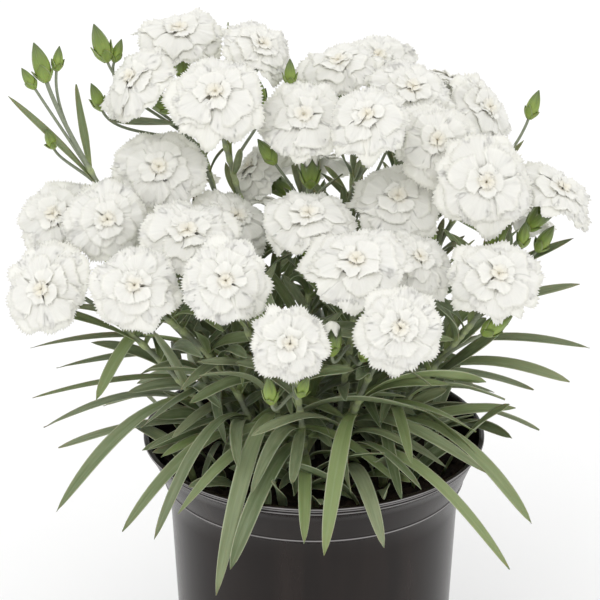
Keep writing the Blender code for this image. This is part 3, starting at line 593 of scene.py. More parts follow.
@dataclass
class PlantPlan:
    """Every branch with its cup or bud, and every leaf, for each stem, by the same rules as the solids."""

    clump: float = 0.34
    stem_radius: float = 1.7 * MM
    twig_radius: float = 1.1 * MM
    stem_sunk: float = 4 * MM
    end_room: float = 8 * MM
    leaf_tries: int = 14
    most_ruled_leaves: int = 8
    root_room: float = 14 * MM
    root_grip: float = 4 * MM
    pot_room: float = 1.7 * MM
    fine_root_room: float = 7 * MM
    fine_pot_room: float = 0.6 * MM
    added_reach: float = 108 * MM
    front_edge: float = -55 * MM
    front_top: float = 190 * MM
    added_seed: int = 41
    tufts: int = 50
    tuft_ring: tuple[float, float] = (30 * MM, 67 * MM)
    tuft: Tier = Tier(4, 50, 0, 0, (28, 62), (5.0, 8.0), (55, 85), (0, 60), 110)
    bud_shifts: tuple[int, ...] = (0, 4, -4, 8, -8, 13, 18)
    leaf_shifts: tuple[int, ...] = (0, 4, -4, 8, -8, 12, -12, 18, -18, 24)
    fork_drops: tuple[int, ...] = (14, 18, 10, 22, 6, 26)
    pairs: tuple[Pair, ...] = (
        Pair(12, 88, 8.6, 50, -8),
        Pair(24, 80, 8.4, 55, 5),
        Pair(40, 66, 8.0, 58, 18),
        Pair(60, 48, 6.8, 60, 30),
        Pair(86, 36, 5.2, 62, 40),
        Pair(116, 26, 4.0, 64, 48),
        Pair(150, 20, 3.2, 66, 55),
    )
    tiers: tuple[Tier, ...] = (
        Tier(2, 60, 6, 30, (45, 85), (5.5, 8.5), (40, 75), (-15, 25), 140),
        Tier(3, 70, 20, 60, (35, 70), (4.5, 8.0), (50, 78), (0, 50), 180),
        Tier(2, 60, 4, 25, (25, 55), (4.5, 7.5), (20, 80), (-5, 60), 180),
        Tier(6, 90, 45, 100, (25, 50), (3.5, 6.5), (45, 78), (0, 60), 180),
        Tier(4, 50, 90, 180, (14, 32), (2.5, 4.5), (45, 75), (30, 70), 180),
    )

    def __post_init__(self) -> None:
        """Grows the blooms, the stems, the forks and the leaves, in that order."""
        self.bends = [
            (leave, arrive, swing * MM, math.radians(aside))
            for swing in (0, 7, 14, 24, 36)
            for aside in range(0, 360 if swing else 1, 45)
            for leave, arrive in ((0.35, 0.3), (0.2, 0.2), (0.5, 0.35), (0.35, 0.12), (0.12, 0.4))
        ]
        self.room = Room()
        self.blooms = self.set_blooms()
        self.feet = self.stem_feet()
        self.ends = {stem: self.ends_of(stem) for stem in self.feet}
        self.branches: dict[int, list[Branch]] = {stem: [] for stem in self.feet}
        self.leaves: dict[int, list[Leaf]] = {stem: [] for stem in self.feet}
        for stem in self.feet:
            self.grow_main(stem)
        for stem in self.feet:
            for place in range(1, len(self.ends[stem])):
                self.clearest(self.forks(stem, self.ends[stem][place]), stem, place)
        for leaf in LONG_LEAVES:
            self.grow_long_leaf(leaf)
        for number, stem in itertools.product(range(len(self.pairs)), self.feet):
            if len(self.leaves[stem]) < self.most_ruled_leaves:
                self.grow_pair(stem, self.pairs[number], number, self.leaf_tries)

    def bloom_space(self, foot: Points, axis: Points, width: float) -> Points:
        """Points that fill a bloom's space: a cone that opens to its width under a low crown, and its cup.

        Args:
            foot: the bloom's foot.
            axis: the direction it faces.
            width: its width in mm.

        Returns:
            The points.
        """
        side, other = frame_along(axis)
        heights = np.arange(1.0 * MM, CUP.bloom_height, 1.5 * MM)
        spread = width / 2 * MM
        widest = (9 * MM, 12 * MM)
        edge = np.interp(heights, (0.0, *widest, CUP.bloom_height), (5.5 * MM, spread, spread, spread * 0.5))
        reach = edge[:, None, None] * np.linspace(0.0, 1.0, 15)[None, :, None]
        along = around(side, other, circle(48))
        points = foot + axis * heights[:, None, None, None] + reach[..., None] * along[None, None, :, :]
        under = foot - np.outer(np.linspace(0, CUP.length + 6 * MM, 14), axis)
        cup = [under + part * 0.5 * CUP.radius for part in (side, -side, other, -other)]
        return np.concatenate((points.reshape(-1, 3), *cup))

    def set_blooms(self) -> list[SetBloom]:
        """Each bloom is moved back along the line of sight until it is clear of those in front of it.

        Returns:
            The blooms in the order of their table.
        """
        placed = {}
        for index in sorted(range(len(BLOOMS)), key=lambda number: BLOOMS[number].depth):
            bloom = BLOOMS[index]
            axis = leaning(bloom.toward, bloom.tilt)
            for back in range(0, 60, 2):
                foot = FRONT.point(bloom.across, bloom.up, bloom.depth + back) - axis * 9 * MM
                space = self.bloom_space(foot, axis, bloom.width)
                if not self.room.crowding(space, self.room.bloom_owner + index):
                    break
            self.room.claim(space, self.room.bloom_owner + index)
            placed[index] = SetBloom(foot, axis, bloom.width, bloom.stem)
        return [placed[index] for index in range(len(BLOOMS))]

    def stem_feet(self) -> dict[int, Points]:
        """Where each stem leaves the soil: its tops' middle, drawn in towards the axis.

        Returns:
            The foot of each stem.
        """
        feet = {}
        for stem in range(1, max(bloom.stem for bloom in BLOOMS) + 1):
            tops = [bloom.foot for bloom in self.blooms if bloom.stem == stem]
            buds = [bud for bud in BUDS if bud.stem == stem]
            tops = tops or [FRONT.point(bud.across, bud.up, bud.depth) for bud in buds]
            middle = np.mean(tops, axis=0)
            feet[stem] = np.array((middle[0] * self.clump, middle[1] * self.clump, POT.soil_top))
        return feet

    def ends_of(self, stem: int) -> list[End]:
        """The cups and then the buds of a stem.

        Args:
            stem: the stem's number.

        Returns:
            The ends, that of the main branch first.
        """
        ends = []
        for index, bloom in enumerate(self.blooms):
            if bloom.stem == stem:
                foot = bloom.foot - bloom.axis * (CUP.length + SEAT_GAP)
                ends.append(End(foot, bloom.axis, CUP.length, index))
        for bud in BUDS:
            if bud.stem == stem:
                axis = leaning(bud.toward, bud.tilt)
                middle = FRONT.point(bud.across, bud.up, bud.depth)
                foot = middle - axis * bud.length / 2 * MM
                ends.append(End(foot, axis, bud.length * MM, None, bud.state))
        return ends

    def stem_controls(self, start: Points, heading: Points, end: End, bend: tuple) -> tuple[Points, ...]:
        """Control points of a curve that leaves and arrives along two directions and swings aside between.

        Args:
            start: where the curve leaves.
            heading: the direction that it leaves in.
            end: the cup or bud that it carries, whose direction it arrives in.
            bend: how far it runs straight on at both ends, as shares, how far it swings, and where to.

        Returns:
            Four points.
        """
        leave, arrive, swing, aside = bend
        reach = np.linalg.norm(end.foot - start)
        side, other = frame_along((end.foot - start) / reach)
        away = swing * (side * math.cos(aside) + other * math.sin(aside))
        first = start + heading * reach * leave + away * 0.5
        return (start, first, end.foot - end.axis * reach * arrive + away, end.foot)

    def clearest(self, choices: Iterator[tuple[Branch, End]], stem: int, place: int) -> None:
        """Takes the first branch and end that cross nothing, or else those that cross least.

        Args:
            choices: the branches to try, each with its end.
            stem: the stem that they belong to.
            place: the number of the end on its stem.
        """
        best, least = None, None
        for branch, end in choices:
            line = branch.points(90)
            near = np.linalg.norm(line - end.foot, axis=1) < self.end_room
            points = np.concatenate((line, end.points()))
            own = (stem, self.room.bloom_owner + end.bloom) if end.bloom is not None else (stem,)
            crowded = self.room.crowding(line[~near], stem)
            crowded += self.room.crowding(np.concatenate((line[near], end.points())), *own)
            if least is None or crowded < least:
                best, least = (branch, end, points), crowded
            if not crowded:
                break
        self.room.claim(best[2], stem)
        self.branches[stem].append(best[0])
        self.ends[stem][place] = best[1]

    def grow_main(self, stem: int) -> None:
        """The stem up to its first bloom or bud.

        Args:
            stem: the stem's number.
        """
        end = self.ends[stem][0]
        foot = self.feet[stem] + UP * self.stem_sunk
        curves = (self.stem_controls(foot, UP, end, bend) for bend in self.bends)
        choices = ((Branch(curve, self.stem_radius, self.twig_radius * 1.1), end) for curve in curves)
        self.clearest(choices, stem, 0)

    def forks(self, stem: int, planned: End) -> Iterator[tuple[Branch, End]]:
        """Every fork that may be tried to a bloom or bud, each from a point lower on the main branch.

        Args:
            stem: the stem's number.
            planned: the bloom's cup or the bud, before any shift.

        Returns:
            The forks one by one, each with its end.
        """
        line = self.branches[stem][0].points(41)
        nearest = int(np.argmin(np.linalg.norm(line - planned.foot, axis=1)))
        shifts = self.bud_shifts if planned.bloom is None else (0,)
        for bend, shift, below in itertools.product(self.bends, shifts, self.fork_drops):
            end = planned._replace(foot=planned.foot + FRONT.axes()[0] * shift * MM)
            start = int(np.clip(nearest - below, 8, 34))
            controls = self.stem_controls(line[start], unit(line[start + 1] - line[start]), end, bend)
            yield Branch(controls, self.twig_radius * 1.15, self.twig_radius * 0.85), end

    def keep(self, leaf: Leaf, stem: int) -> bool:
        """Keeps a leaf if it is clear of the blooms, the pot, other stems and, past its root, its own.

        Args:
            leaf: the leaf.
            stem: the stem that carries it.

        Returns:
            Whether it was kept.
        """
        blades = (leaf.blade(np.linspace(0, 1, 40), 5), leaf.faceted(40, 5))
        points = np.concatenate(blades).reshape(-1, 3)
        away = np.linalg.norm(points - leaf.root, axis=1)
        owner = self.room.leaf_owner * stem
        own_leaves = [owner + number for number in range(len(self.leaves[stem]))]
        crowded = self.room.crowding(points[away < self.root_room], stem, *own_leaves)
        crowded += self.room.crowding(points[away >= self.root_room], stem)
        if crowded or not POT.clear(points[away > self.root_grip], self.pot_room):
            return False
        self.room.claim(points, owner + len(own_leaves))
        self.leaves[stem].append(leaf)
        return True

    def grow_long_leaf(self, leaf: LongLeaf) -> None:
        """Tries the long leaf as the front view shows it, then moved back or forward a little.

        Args:
            leaf: the leaf's row of the table.
        """
        line = self.branches[leaf.stem][0].points(120)
        root = line[int(np.argmin(np.abs(line[:, 2] - leaf.height * MM)))]
        for shift in self.leaf_shifts:
            tip = FRONT.point(leaf.across, leaf.up, leaf.depth + shift)
            reach = np.linalg.norm(tip - root)
            bend = root + (tip - root) * 0.42 + np.array((0, 0, leaf.arch * reach))
            if self.keep(Leaf(root, bend, tip, leaf.width * MM, 0.0, shown=True), leaf.stem):
                return

    def grow_pair(self, stem: int, pair: Pair, number: int, tries: int) -> None:
        """A pair of opposite leaves, square to the pair below, each turned a little until it is clear.

        Args:
            stem: the stem that carries the pair.
            pair: its place and sizes.
            number: counts the pairs up the stem, and seeds the draw.
            tries: how many turns are tried for each leaf.
        """
        line = self.branches[stem][0].points(160)
        along = run_along(line)
        if along[-1] < (pair.distance + 12) * MM:
            return
        root = line[int(np.searchsorted(along, pair.distance * MM))]
        outward = math.degrees(math.atan2(self.feet[stem][1], self.feet[stem][0]))
        chance = np.random.default_rng(1000 * stem + number)
        for side in (0, 180):
            facing = outward + 90 * (number % 2) + side
            for attempt in range(tries):
                turn = math.radians(facing + chance.uniform(-1, 1) * (12 + 4 * attempt))
                size = pair.length * MM * chance.uniform(0.8, 1.1) * (1 - 0.025 * attempt)
                slopes = np.radians((pair.root_slope, pair.mean_slope + chance.uniform(-10, 14)))
                bend, tip = arch(root, turn, size, slopes)
                if self.keep(Leaf(root, bend, tip, pair.width * MM, chance.uniform(-20, 20), 0.8), stem):
                    break

    def fine_room(self) -> Room:
        """A finer room that holds every bloom, stem and leaf of the solids.

        Returns:
            The room.
        """
        fine = Room(1.0 * MM, np.array((-165.0, -165.0, 120.0)) * MM, (330, 330, 260))
        for index, bloom in enumerate(self.blooms):
            fine.claim(self.bloom_space(bloom.foot, bloom.axis, bloom.width), fine.bloom_owner + index)
        for stem in self.feet:
            for branch, end in zip(self.branches[stem], self.ends[stem]):
                fine.claim(branch.points(220), stem)
                fine.claim(end.points(), stem, 2)
            for leaf in self.leaves[stem]:
                fine.claim(leaf.blade(leaf.even_shares(110), 11).reshape(-1, 3), fine.leaf_owner, 0)
        return fine

    def fill_out(self) -> int:
        """Adds the leaves that the solids go without, tier by tier up the stems.

        Returns:
            How many leaves were added.
        """
        fine = self.fine_room()
        chance = np.random.default_rng(self.added_seed)
        before = sum(map(len, self.leaves.values()))
        for tier, stem in itertools.product(self.tiers, self.feet):
            line = self.branches[stem][0].points(200)
            along = run_along(line)
            grown = 0
            for _ in range(tier.tries):
                distance = chance.uniform(tier.low, tier.high) * MM
                if grown < tier.leaves and distance < along[-1] - 14 * MM:
                    root = line[int(np.searchsorted(along, distance))]
                    grown += self.keep_fine(tier.leaf(root, self.feet[stem], chance), stem, fine)
        self.plant_tufts(fine, chance)
        return sum(map(len, self.leaves.values())) - before

    def plant_tufts(self, fine: Room, chance: np.random.Generator) -> None:
        """Adds low tufts of leaves all round the pot, each from one spot and counted to the nearest stem.

        The spots stand on a spiral whose turn from one to the next is the golden angle, so they lie evenly.

        Args:
            fine: the room that the leaves have to be clear in.
            chance: the draw.
        """
        feet = np.array(list(self.feet.values()))
        low, high = self.tuft_ring
        for number in range(self.tufts):
            reach = math.sqrt(low**2 + (high**2 - low**2) * (number + 0.5) / self.tufts)
            turn = number * math.pi * (3 - math.sqrt(5))
            spot = np.array((reach * math.cos(turn), reach * math.sin(turn), POT.soil_top))
            stem = list(self.feet)[int(np.argmin(np.linalg.norm(feet - spot, axis=1)))]
            grown = 0
            for _ in range(self.tuft.tries):
                if grown < self.tuft.leaves:
                    root = spot + chance.uniform(-1.5, 1.5, 3) * MM
                    grown += self.keep_fine(self.tuft.leaf(root, spot, chance), stem, fine)

    def keep_fine(self, leaf: Leaf, stem: int, fine: Room) -> bool:
        """Keeps an added leaf if it is clear of everything past its root.

        Args:
            leaf: the leaf.
            stem: the stem that carries it.
            fine: the finer room.

        Returns:
            Whether it was kept.
        """
        in_front = leaf.tip[1] < self.front_edge and leaf.tip[2] > self.front_top
        if in_front or np.hypot(*leaf.tip[:2]) > self.added_reach:
            return False
        points = leaf.blade(leaf.even_shares(80), 9).reshape(-1, 3)
        away = np.linalg.norm(points - leaf.root, axis=1)
        near = away < self.fine_root_room
        if fine.crowding(points[near], stem, fine.leaf_owner) or fine.crowding(points[~near]):
            return False
        if not POT.clear(points[away > self.root_grip], self.fine_pot_room):
            return False
        fine.claim(leaf.blade(leaf.even_shares(110), 11).reshape(-1, 3), fine.leaf_owner, 0)
        self.leaves[stem].append(leaf)
        return True


def quads(index: Points) -> Points:
    """Four-sided faces between the neighbouring rows and columns of a grid of point numbers."""
    corners = (index[:-1, :-1], index[:-1, 1:], index[1:, 1:], index[1:, :-1])
    return np.stack(corners, axis=-1).reshape(-1, 4)


def ring_quads(rows: int, sides: int, start: int = 0) -> Points:
    """Four-sided faces of a grid that closes on itself sideways."""
    index = np.arange(rows * sides).reshape(rows, sides) + start
    return quads(np.concatenate((index, index[:, :1]), axis=1))


@dataclass
class Skin:
    """A mesh in the making: its points, its faces, and one number per point in each named layer."""

    name: str
    layer_names: tuple[str, ...] = ("along", "across", "tone")

    def __post_init__(self) -> None:
        """Starts with nothing in it."""
        self.points: list[Points] = []
        self.faces: Faces = []
        self.layers: dict[str, list[Points]] = {name: [] for name in self.layer_names}
        self.count = 0

    def add(self, points: Points, faces: Faces, **layers: Points | float) -> None:
        """Adds a closed shape.

        Args:
            points: its points.
            faces: arrays of faces, each with faces of one size, numbered from the shape's first point.
            **layers: a number per point, or one for all, for any of the layers; the rest get 0.
        """
        flat = points.reshape(-1, 3)
        self.points.append(flat)
        self.faces += [group + self.count for group in faces]
        self.count += len(flat)
        for name in self.layer_names:
            value = np.asarray(layers.get(name, 0.0), float)
            self.layers[name].append(np.broadcast_to(value.reshape(-1), (len(flat),)))

    def add_slabs(self, top: Points, under: Points, tips: Points | None = None, **layers: Points) -> None:
        """Adds thin closed plates, each with a top grid, a grid under it and a strip round its edge.

        Args:
            top: top points, as plates x rows x columns x 3.
            under: the points under them.
            tips: the tips of teeth, as plates x 2 (top and under) x columns - 1 x 3, one between each two
                neighbouring points of the last row.
            **layers: a number per top point, as plates x rows x columns, which the point under it shares.
        """
        plates, rows, columns = top.shape[:3]
        size = rows * columns
        index = np.arange(size).reshape(rows, columns)
        low = index + size
        body = rows if tips is None else rows - 1
        near, far = (index[0, 1:], index[0, :-1]), (index[-1, :-1], index[-1, 1:])
        strips = [
            (*near, near[1] + size, near[0] + size),
            (index[:-1, 0], index[1:, 0], low[1:, 0], low[:-1, 0]),
            (index[1:, -1], index[:-1, -1], low[:-1, -1], low[1:, -1]),
        ]
        groups = [quads(index[:body]), quads(low[:body])[:, ::-1]]
        if tips is None:
            strips.append((*far, far[1] + size, far[0] + size))
        else:
            tooth = 2 * size + np.arange(columns - 1)
            below = tooth + columns - 1
            strips += [(far[0], tooth, below, far[0] + size), (tooth, far[1], far[1] + size, below)]
            base = (index[-2, :-1], index[-2, 1:])
            ends = [np.stack((*base, far[1], tooth, far[0]), axis=-1)]
            far_end = (base[0] + size, far[0] + size, below, far[1] + size, base[1] + size)
            ends.append(np.stack(far_end, axis=-1))
        groups = [np.concatenate(groups + [np.stack(s, axis=-1) for s in strips])]
        groups += [] if tips is None else [np.concatenate(ends)]
        facing = np.cross(top[0, 1:-1, 1:] - top[0, 1:-1, :-1], top[0, 2:, :-1] - top[0, 1:-1, :-1])
        if np.sum(facing * (top - under)[0, 1:-1, :-1]) < 0:
            groups = [group[:, ::-1] for group in groups]
        points = [top.reshape(plates, -1, 3), under.reshape(plates, -1, 3)]
        numbers = {name: [value.reshape(plates, -1)] * 2 for name, value in layers.items()}
        if tips is not None:
            points.append(tips.reshape(plates, -1, 3))
            for name, value in layers.items():
                numbers[name] = numbers[name] + [value[:, -1, 1:]] * 2
        points = np.concatenate(points, axis=1)
        step = (points.shape[1] * np.arange(plates))[:, None, None]
        faces = [(group[None] + step).reshape(-1, group.shape[1]) for group in groups]
        self.add(points, faces, **{name: np.concatenate(value, axis=1) for name, value in numbers.items()})

    def add_tube(self, rings: Points, **layers: Points | float) -> None:
        """Adds a tube through rings of points, closed by a flat face at both ends.

        Args:
            rings: rows x sides x 3, each ring running round the tube's direction by the right hand.
            **layers: a number per point.
        """
        rows, sides = rings.shape[:2]
        caps = np.stack((np.arange(sides)[::-1], np.arange(sides) + (rows - 1) * sides))
        self.add(rings, [ring_quads(rows, sides), caps], **layers)

    def piece(self) -> bpy.types.Object:
        """The finished piece, with smooth faces, at the origin.

        Returns:
            The object, linked into the scene.
        """
        mesh = bpy.data.meshes.new(self.name)
        points = np.concatenate(self.points)
        corners = np.concatenate([group.reshape(-1) for group in self.faces])
        sizes = np.concatenate([np.full(len(group), group.shape[1]) for group in self.faces])
        mesh.vertices.add(len(points))
        mesh.loops.add(len(corners))
        mesh.polygons.add(len(sizes))
        mesh.vertices.foreach_set("co", points.astype(np.float32).reshape(-1))
        mesh.loops.foreach_set("vertex_index", corners.astype(np.int32))
        starts = np.concatenate(([0], np.cumsum(sizes)[:-1]))
        mesh.polygons.foreach_set("loop_start", starts.astype(np.int32))
        mesh.polygons.foreach_set("use_smooth", np.ones(len(sizes), bool))
        for name, values in self.layers.items():
            layer = mesh.attributes.new(name, "FLOAT", "POINT")
            layer.data.foreach_set("value", np.concatenate(values).astype(np.float32))
        mesh.update(calc_edges=True)
        mesh.validate()
        made = bpy.data.objects.new(self.name, mesh)
        bpy.context.scene.collection.objects.link(made)
        return made


def place(made: bpy.types.Object, finish: Material, slot: str, *nodes: str) -> None:
    """Gives a piece its finish and its body, and hides the parts of the solids that it stands for.

    Args:
        made: the piece.
        finish: its material.
        slot: the name of a material slot; not used.
        *nodes: the nodes of the solids that it replaces.
    """
    made.data.materials.append(finish)
    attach(made, "root")
    if nodes:
        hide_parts(*nodes)
    LOG.info("%s: %d faces", made.name, len(made.data.polygons))


class Tree:
    """A material's nodes, made one by one."""

    def __init__(self, name: str, roughness: float, **sockets: float | tuple) -> None:
        """Starts a Principled material and sets its constants on its own sockets.

        Args:
            name: the material's name.
            roughness: its roughness.
            **sockets: the other constants, with _ for each blank of a socket's name.
        """
        self.material = bpy.data.materials.new(name)
        self.material.use_nodes = True
        self.shader = self.material.node_tree.nodes["Principled BSDF"]
        self.shader.inputs["Roughness"].default_value = roughness
        for socket, value in sockets.items():
            self.shader.inputs[socket.replace("_", " ")].default_value = value

    def node(self, kind: str, inputs: dict, **settings: object) -> bpy.types.Node:
        """A node with its settings and its inputs, each a value or another node's output.

        Args:
            kind: the node's type without its prefix.
            inputs: values or outputs by socket.
            **settings: the node's own settings.

        Returns:
            The node.
        """
        made = self.material.node_tree.nodes.new("ShaderNode" + kind)
        for name, value in settings.items():
            setattr(made, name, value)
        for name, value in inputs.items():
            if isinstance(value, Socket):
                self.material.node_tree.links.new(value, made.inputs[name])
            else:
                made.inputs[name].default_value = value
        return made

    def layer(self, name: str) -> Socket:
        """The number that each point holds in a named layer."""
        return self.node("Attribute", {}, attribute_name=name).outputs["Fac"]

    def math(self, operation: str, *values: object) -> Socket:
        """The result of a sum on one to three values."""
        return self.node("Math", dict(enumerate(values)), operation=operation).outputs[0]

    def curve(self, value: object, *stops: Stop) -> Socket:
        """A number read off straight runs between stops, as a grey ramp."""
        colours = [(at, (level, level, level)) for at, level in stops]
        return self.ramp(value, *colours)

    def ramp(self, value: object, *stops: tuple[float, tuple]) -> Socket:
        """A colour read off a ramp of stops.

        Args:
            value: what is read off.
            *stops: each a position and a colour.

        Returns:
            The colour.
        """
        made = self.node("ValToRGB", {"Fac": value})
        marks = made.color_ramp.elements
        while len(marks) < len(stops):
            marks.new(1.0)
        for mark, (at, colour) in zip(marks, stops):
            mark.position = at
            mark.color = (*colour, 1.0)
        return made.outputs["Color"]

    def mix(self, factor: object, first: object, second: object, blend: str = "MIX") -> Socket:
        """Two colours mixed by a factor.

        Args:
            factor: the second colour's share.
            first: a colour.
            second: a colour.
            blend: how they mix.

        Returns:
            The mixed colour.
        """
        colours = [(*c, 1.0) if isinstance(c, tuple) and len(c) == 3 else c for c in (first, second)]
        inputs = {0: factor, 6: colours[0], 7: colours[1]}
        return self.node("Mix", inputs, data_type="RGBA", blend_type=blend).outputs[2]

    def shaded(self, colour: object, pattern: object, *stops: Stop) -> Socket:
        """A colour made darker or lighter by a pattern, as a curve through the stops says."""
        return self.mix(1.0, colour, self.curve(pattern, *stops), "MULTIPLY")

    def tinted(self, colour: object, tint: object, value: object, *stops: Stop) -> Socket:
        """A colour turned towards a tint, as a curve of a value through the stops says."""
        return self.mix(self.curve(value, *stops), colour, tint)

    def where(self) -> Socket:
        """Object coordinates."""
        return self.node("TexCoord", {}).outputs["Object"]

    def noise(self, vector: object, scale: float, detail: float = 3.0) -> Socket:
        """A soft grey noise."""
        return self.node("TexNoise", {"Vector": vector, "Scale": scale, "Detail": detail}).outputs["Fac"]

    def skin_vector(self, along: float, across: float) -> Socket:
        """Along, across and tone as one vector, each stretched, so that a pattern follows the surface.

        Args:
            along: stretch along the surface.
            across: stretch across it.

        Returns:
            The vector.
        """
        parts = {
            "X": self.math("MULTIPLY", self.layer("along"), along),
            "Y": self.math("MULTIPLY", self.layer("across"), across),
            "Z": self.math("MULTIPLY", self.layer("tone"), 37.0),
        }
        return self.node("CombineXYZ", parts).outputs[0]

    def done(self, colour: object, height: object = None, depth: float = 0.0) -> Material:
        """Links the colour and the bump, and hands over the material.

        Args:
            colour: the base colour.
            height: the bump's pattern, if there is one.
            depth: the bump's depth.

        Returns:
            The material.
        """
        links = self.material.node_tree.links
        links.new(colour, self.shader.inputs["Base Color"])
        if height is not None:
            bump = self.node("Bump", {"Height": height, "Distance": depth, "Strength": 1.0})
            links.new(bump.outputs["Normal"], self.shader.inputs["Normal"])
        return self.material


@dataclass(frozen=True)
class PetalFinish:
    """White petals: cream at the throat, with faint veins, and soft because light passes through them."""

    white: tuple = (0.90, 0.89, 0.82)
    cream: tuple = (0.89, 0.83, 0.68)
    sheen: float = 0.1
    passing: float = 0.6
    passing_depth: float = 0.45 * MM
    vein_depth: float = 0.05 * MM

    def material(self) -> Material:
        """The finish as nodes.

        Returns:
            The material.
        """
        tree = Tree("petal_white", 0.6, Sheen_Weight=self.sheen, Sheen_Roughness=0.5, Specular_IOR_Level=0.25,
                    Subsurface_Weight=self.passing, Subsurface_Radius=(1.0, 1.0, 1.0),
                    Subsurface_Scale=self.passing_depth)
        colour = tree.tinted(self.white, self.cream, tree.layer("along"), (0.04, 1.0), (0.24, 0.0))
        veins = tree.noise(tree.skin_vector(2.0, 22.0), 1.0, 2.0)
        colour = tree.shaded(colour, veins, (0.3, 0.97), (0.62, 1.0))
        colour = tree.shaded(colour, tree.layer("tone"), (0.0, 0.975), (1.0, 1.0))
        return tree.done(colour, veins, self.vein_depth)


@dataclass(frozen=True)
class LeafFinish:
    """Waxy grey-green leaves, each of its own tone, with a pale middle groove and thin pale margins."""

    green: tuple = (0.275, 0.315, 0.182)
    deep: tuple = (0.118, 0.16, 0.068)
    fresh: tuple = (0.25, 0.325, 0.115)
    base: tuple = (0.36, 0.44, 0.14)
    pale: tuple = (0.50, 0.55, 0.37)
    vein_depth: float = 0.12 * MM
    passing: float = 0.1

    def material(self) -> Material:
        """The finish as nodes.

        Returns:
            The material.
        """
        tree = Tree("leaf_green", 0.4, Specular_IOR_Level=0.4,
                    Subsurface_Weight=self.passing, Subsurface_Scale=LEAF_PASSING_DEPTH)
        blotch = tree.noise(tree.skin_vector(6.0, 2.5), 1.0, 4.0)
        tone = tree.layer("tone")
        shade = tree.math("ADD", tree.math("MULTIPLY", blotch, 0.7), tree.math("MULTIPLY", tone, 0.45))
        body = tree.ramp(shade, (0.32, self.deep), (0.8, self.green))
        young = tree.math("FRACT", tree.math("MULTIPLY", tone, 7.3))
        body = tree.tinted(body, self.fresh, young, (0.55, 0.0), (1.0, 0.75))
        aside = tree.math("ABSOLUTE", tree.layer("across"))
        body = tree.tinted(body, self.pale, aside, (0.0, 0.1), (0.2, 0.0))
        body = tree.tinted(body, self.pale, aside, (0.82, 0.0), (0.98, 0.85))
        body = tree.tinted(body, self.base, tree.layer("along"), (0.0, 0.75), (0.2, 0.0))
        lines = tree.noise(tree.skin_vector(2.0, 26.0), 1.0, 2.0)
        return tree.done(tree.shaded(body, lines, (0.3, 0.86), (0.7, 1.04)), lines, self.vein_depth)


@dataclass(frozen=True)
class StalkFinish:
    """Grey-green stems under a pale bloom of wax, yellow-green at their swollen joints."""

    green: tuple = (0.25, 0.28, 0.195)
    joint: tuple = (0.40, 0.46, 0.22)
    grain_depth: float = 0.1 * MM

    def material(self) -> Material:
        """The finish as nodes.

        Returns:
            The material.
        """
        tree = Tree("stalk_green", 0.48, Specular_IOR_Level=0.4)
        grain = tree.noise(tree.where(), 900.0)
        body = tree.mix(tree.layer("tone"), self.green, self.joint)
        return tree.done(tree.shaded(body, grain, (0.3, 0.8), (0.7, 1.08)), grain, self.grain_depth)


@dataclass(frozen=True)
class CupFinish:
    """Light green cups and buds: ribbed lengthwise, yellow-green below and grey-green at the tips."""

    foot: tuple = (0.36, 0.46, 0.10)
    middle: tuple = (0.25, 0.345, 0.07)
    tip: tuple = (0.11, 0.15, 0.05)
    rim: tuple = (0.42, 0.46, 0.27)
    rib_depth: float = 0.2 * MM
    passing: float = 0.12

    def material(self) -> Material:
        """The finish as nodes.

        Returns:
            The material.
        """
        tree = Tree("cup_green", 0.42, Specular_IOR_Level=0.45,
                    Subsurface_Weight=self.passing, Subsurface_Scale=LEAF_PASSING_DEPTH)
        body = tree.ramp(tree.layer("along"), (0.0, self.foot), (0.45, self.middle), (0.95, self.tip))
        body = tree.tinted(body, self.rim, tree.layer("across"), (0.72, 0.0), (1.0, 0.6))
        ribs = tree.noise(tree.skin_vector(1.5, 14.0), 1.0, 2.0)
        return tree.done(tree.shaded(body, ribs, (0.3, 0.8), (0.7, 1.1)), ribs, self.rib_depth)


@dataclass(frozen=True)
class PotFinish:
    """Dark brown-grey moulded plastic with a satin face, faint flow marks and painted highlights on its lip
    and ridges.
    """

    dark: tuple = (0.0068, 0.0036, 0.0026)
    wear_and_glint: tuple = (0.018, 0.0112, 0.0088)
    # Painted highlight: this pale colour on the lip and ridges stands in for glints of light on them.
    edge: tuple = (0.30, 0.29, 0.29)
    smoothest: float = 0.2
    roughest: float = 0.32
    grain_depth: float = 0.02 * MM

    def material(self) -> Material:
        """The finish as nodes.

        Returns:
            The material.
        """
        tree = Tree("pot_plastic", 0.3, Specular_IOR_Level=0.28)
        spread = tree.node("Mapping", {"Vector": tree.where(), "Scale": (60.0, 60.0, 7.0)}).outputs[0]
        marks = tree.noise(spread, 1.0, 5.0)
        colour = tree.tinted(self.dark, self.wear_and_glint, marks, (0.42, 0.0), (0.75, 1.0))
        # Painted highlight: where the tone layer marks the lip and ridges, the colour turns pale to stand in
        # for glints of light.
        colour = tree.tinted(colour, self.edge, tree.layer("tone"), (0.25, 0.0), (0.8, 1.0))
        limits = {"Value": marks, "To Min": self.smoothest, "To Max": self.roughest}
        rough = tree.node("MapRange", limits).outputs[0]
        tree.material.node_tree.links.new(rough, tree.shader.inputs["Roughness"])
        return tree.done(colour, tree.noise(tree.where(), 1400.0, 2.0), self.grain_depth)


@dataclass(frozen=True)
class SoilFinish:
    """Dark potting compost, from near black peat to dry brown fibre."""

    dark: tuple = (0.010, 0.007, 0.0055)
    dry: tuple = (0.048, 0.032, 0.022)
    grain_depth: float = 0.8 * MM

    def material(self) -> Material:
        """The finish as nodes.

        Returns:
            The material.
        """
        tree = Tree("soil", 0.92, Specular_IOR_Level=0.2)
        colour = tree.ramp(tree.noise(tree.where(), 260.0, 6.0), (0.38, self.dark), (0.72, self.dry))
        return tree.done(colour, tree.noise(tree.where(), 1300.0, 4.0), self.grain_depth)


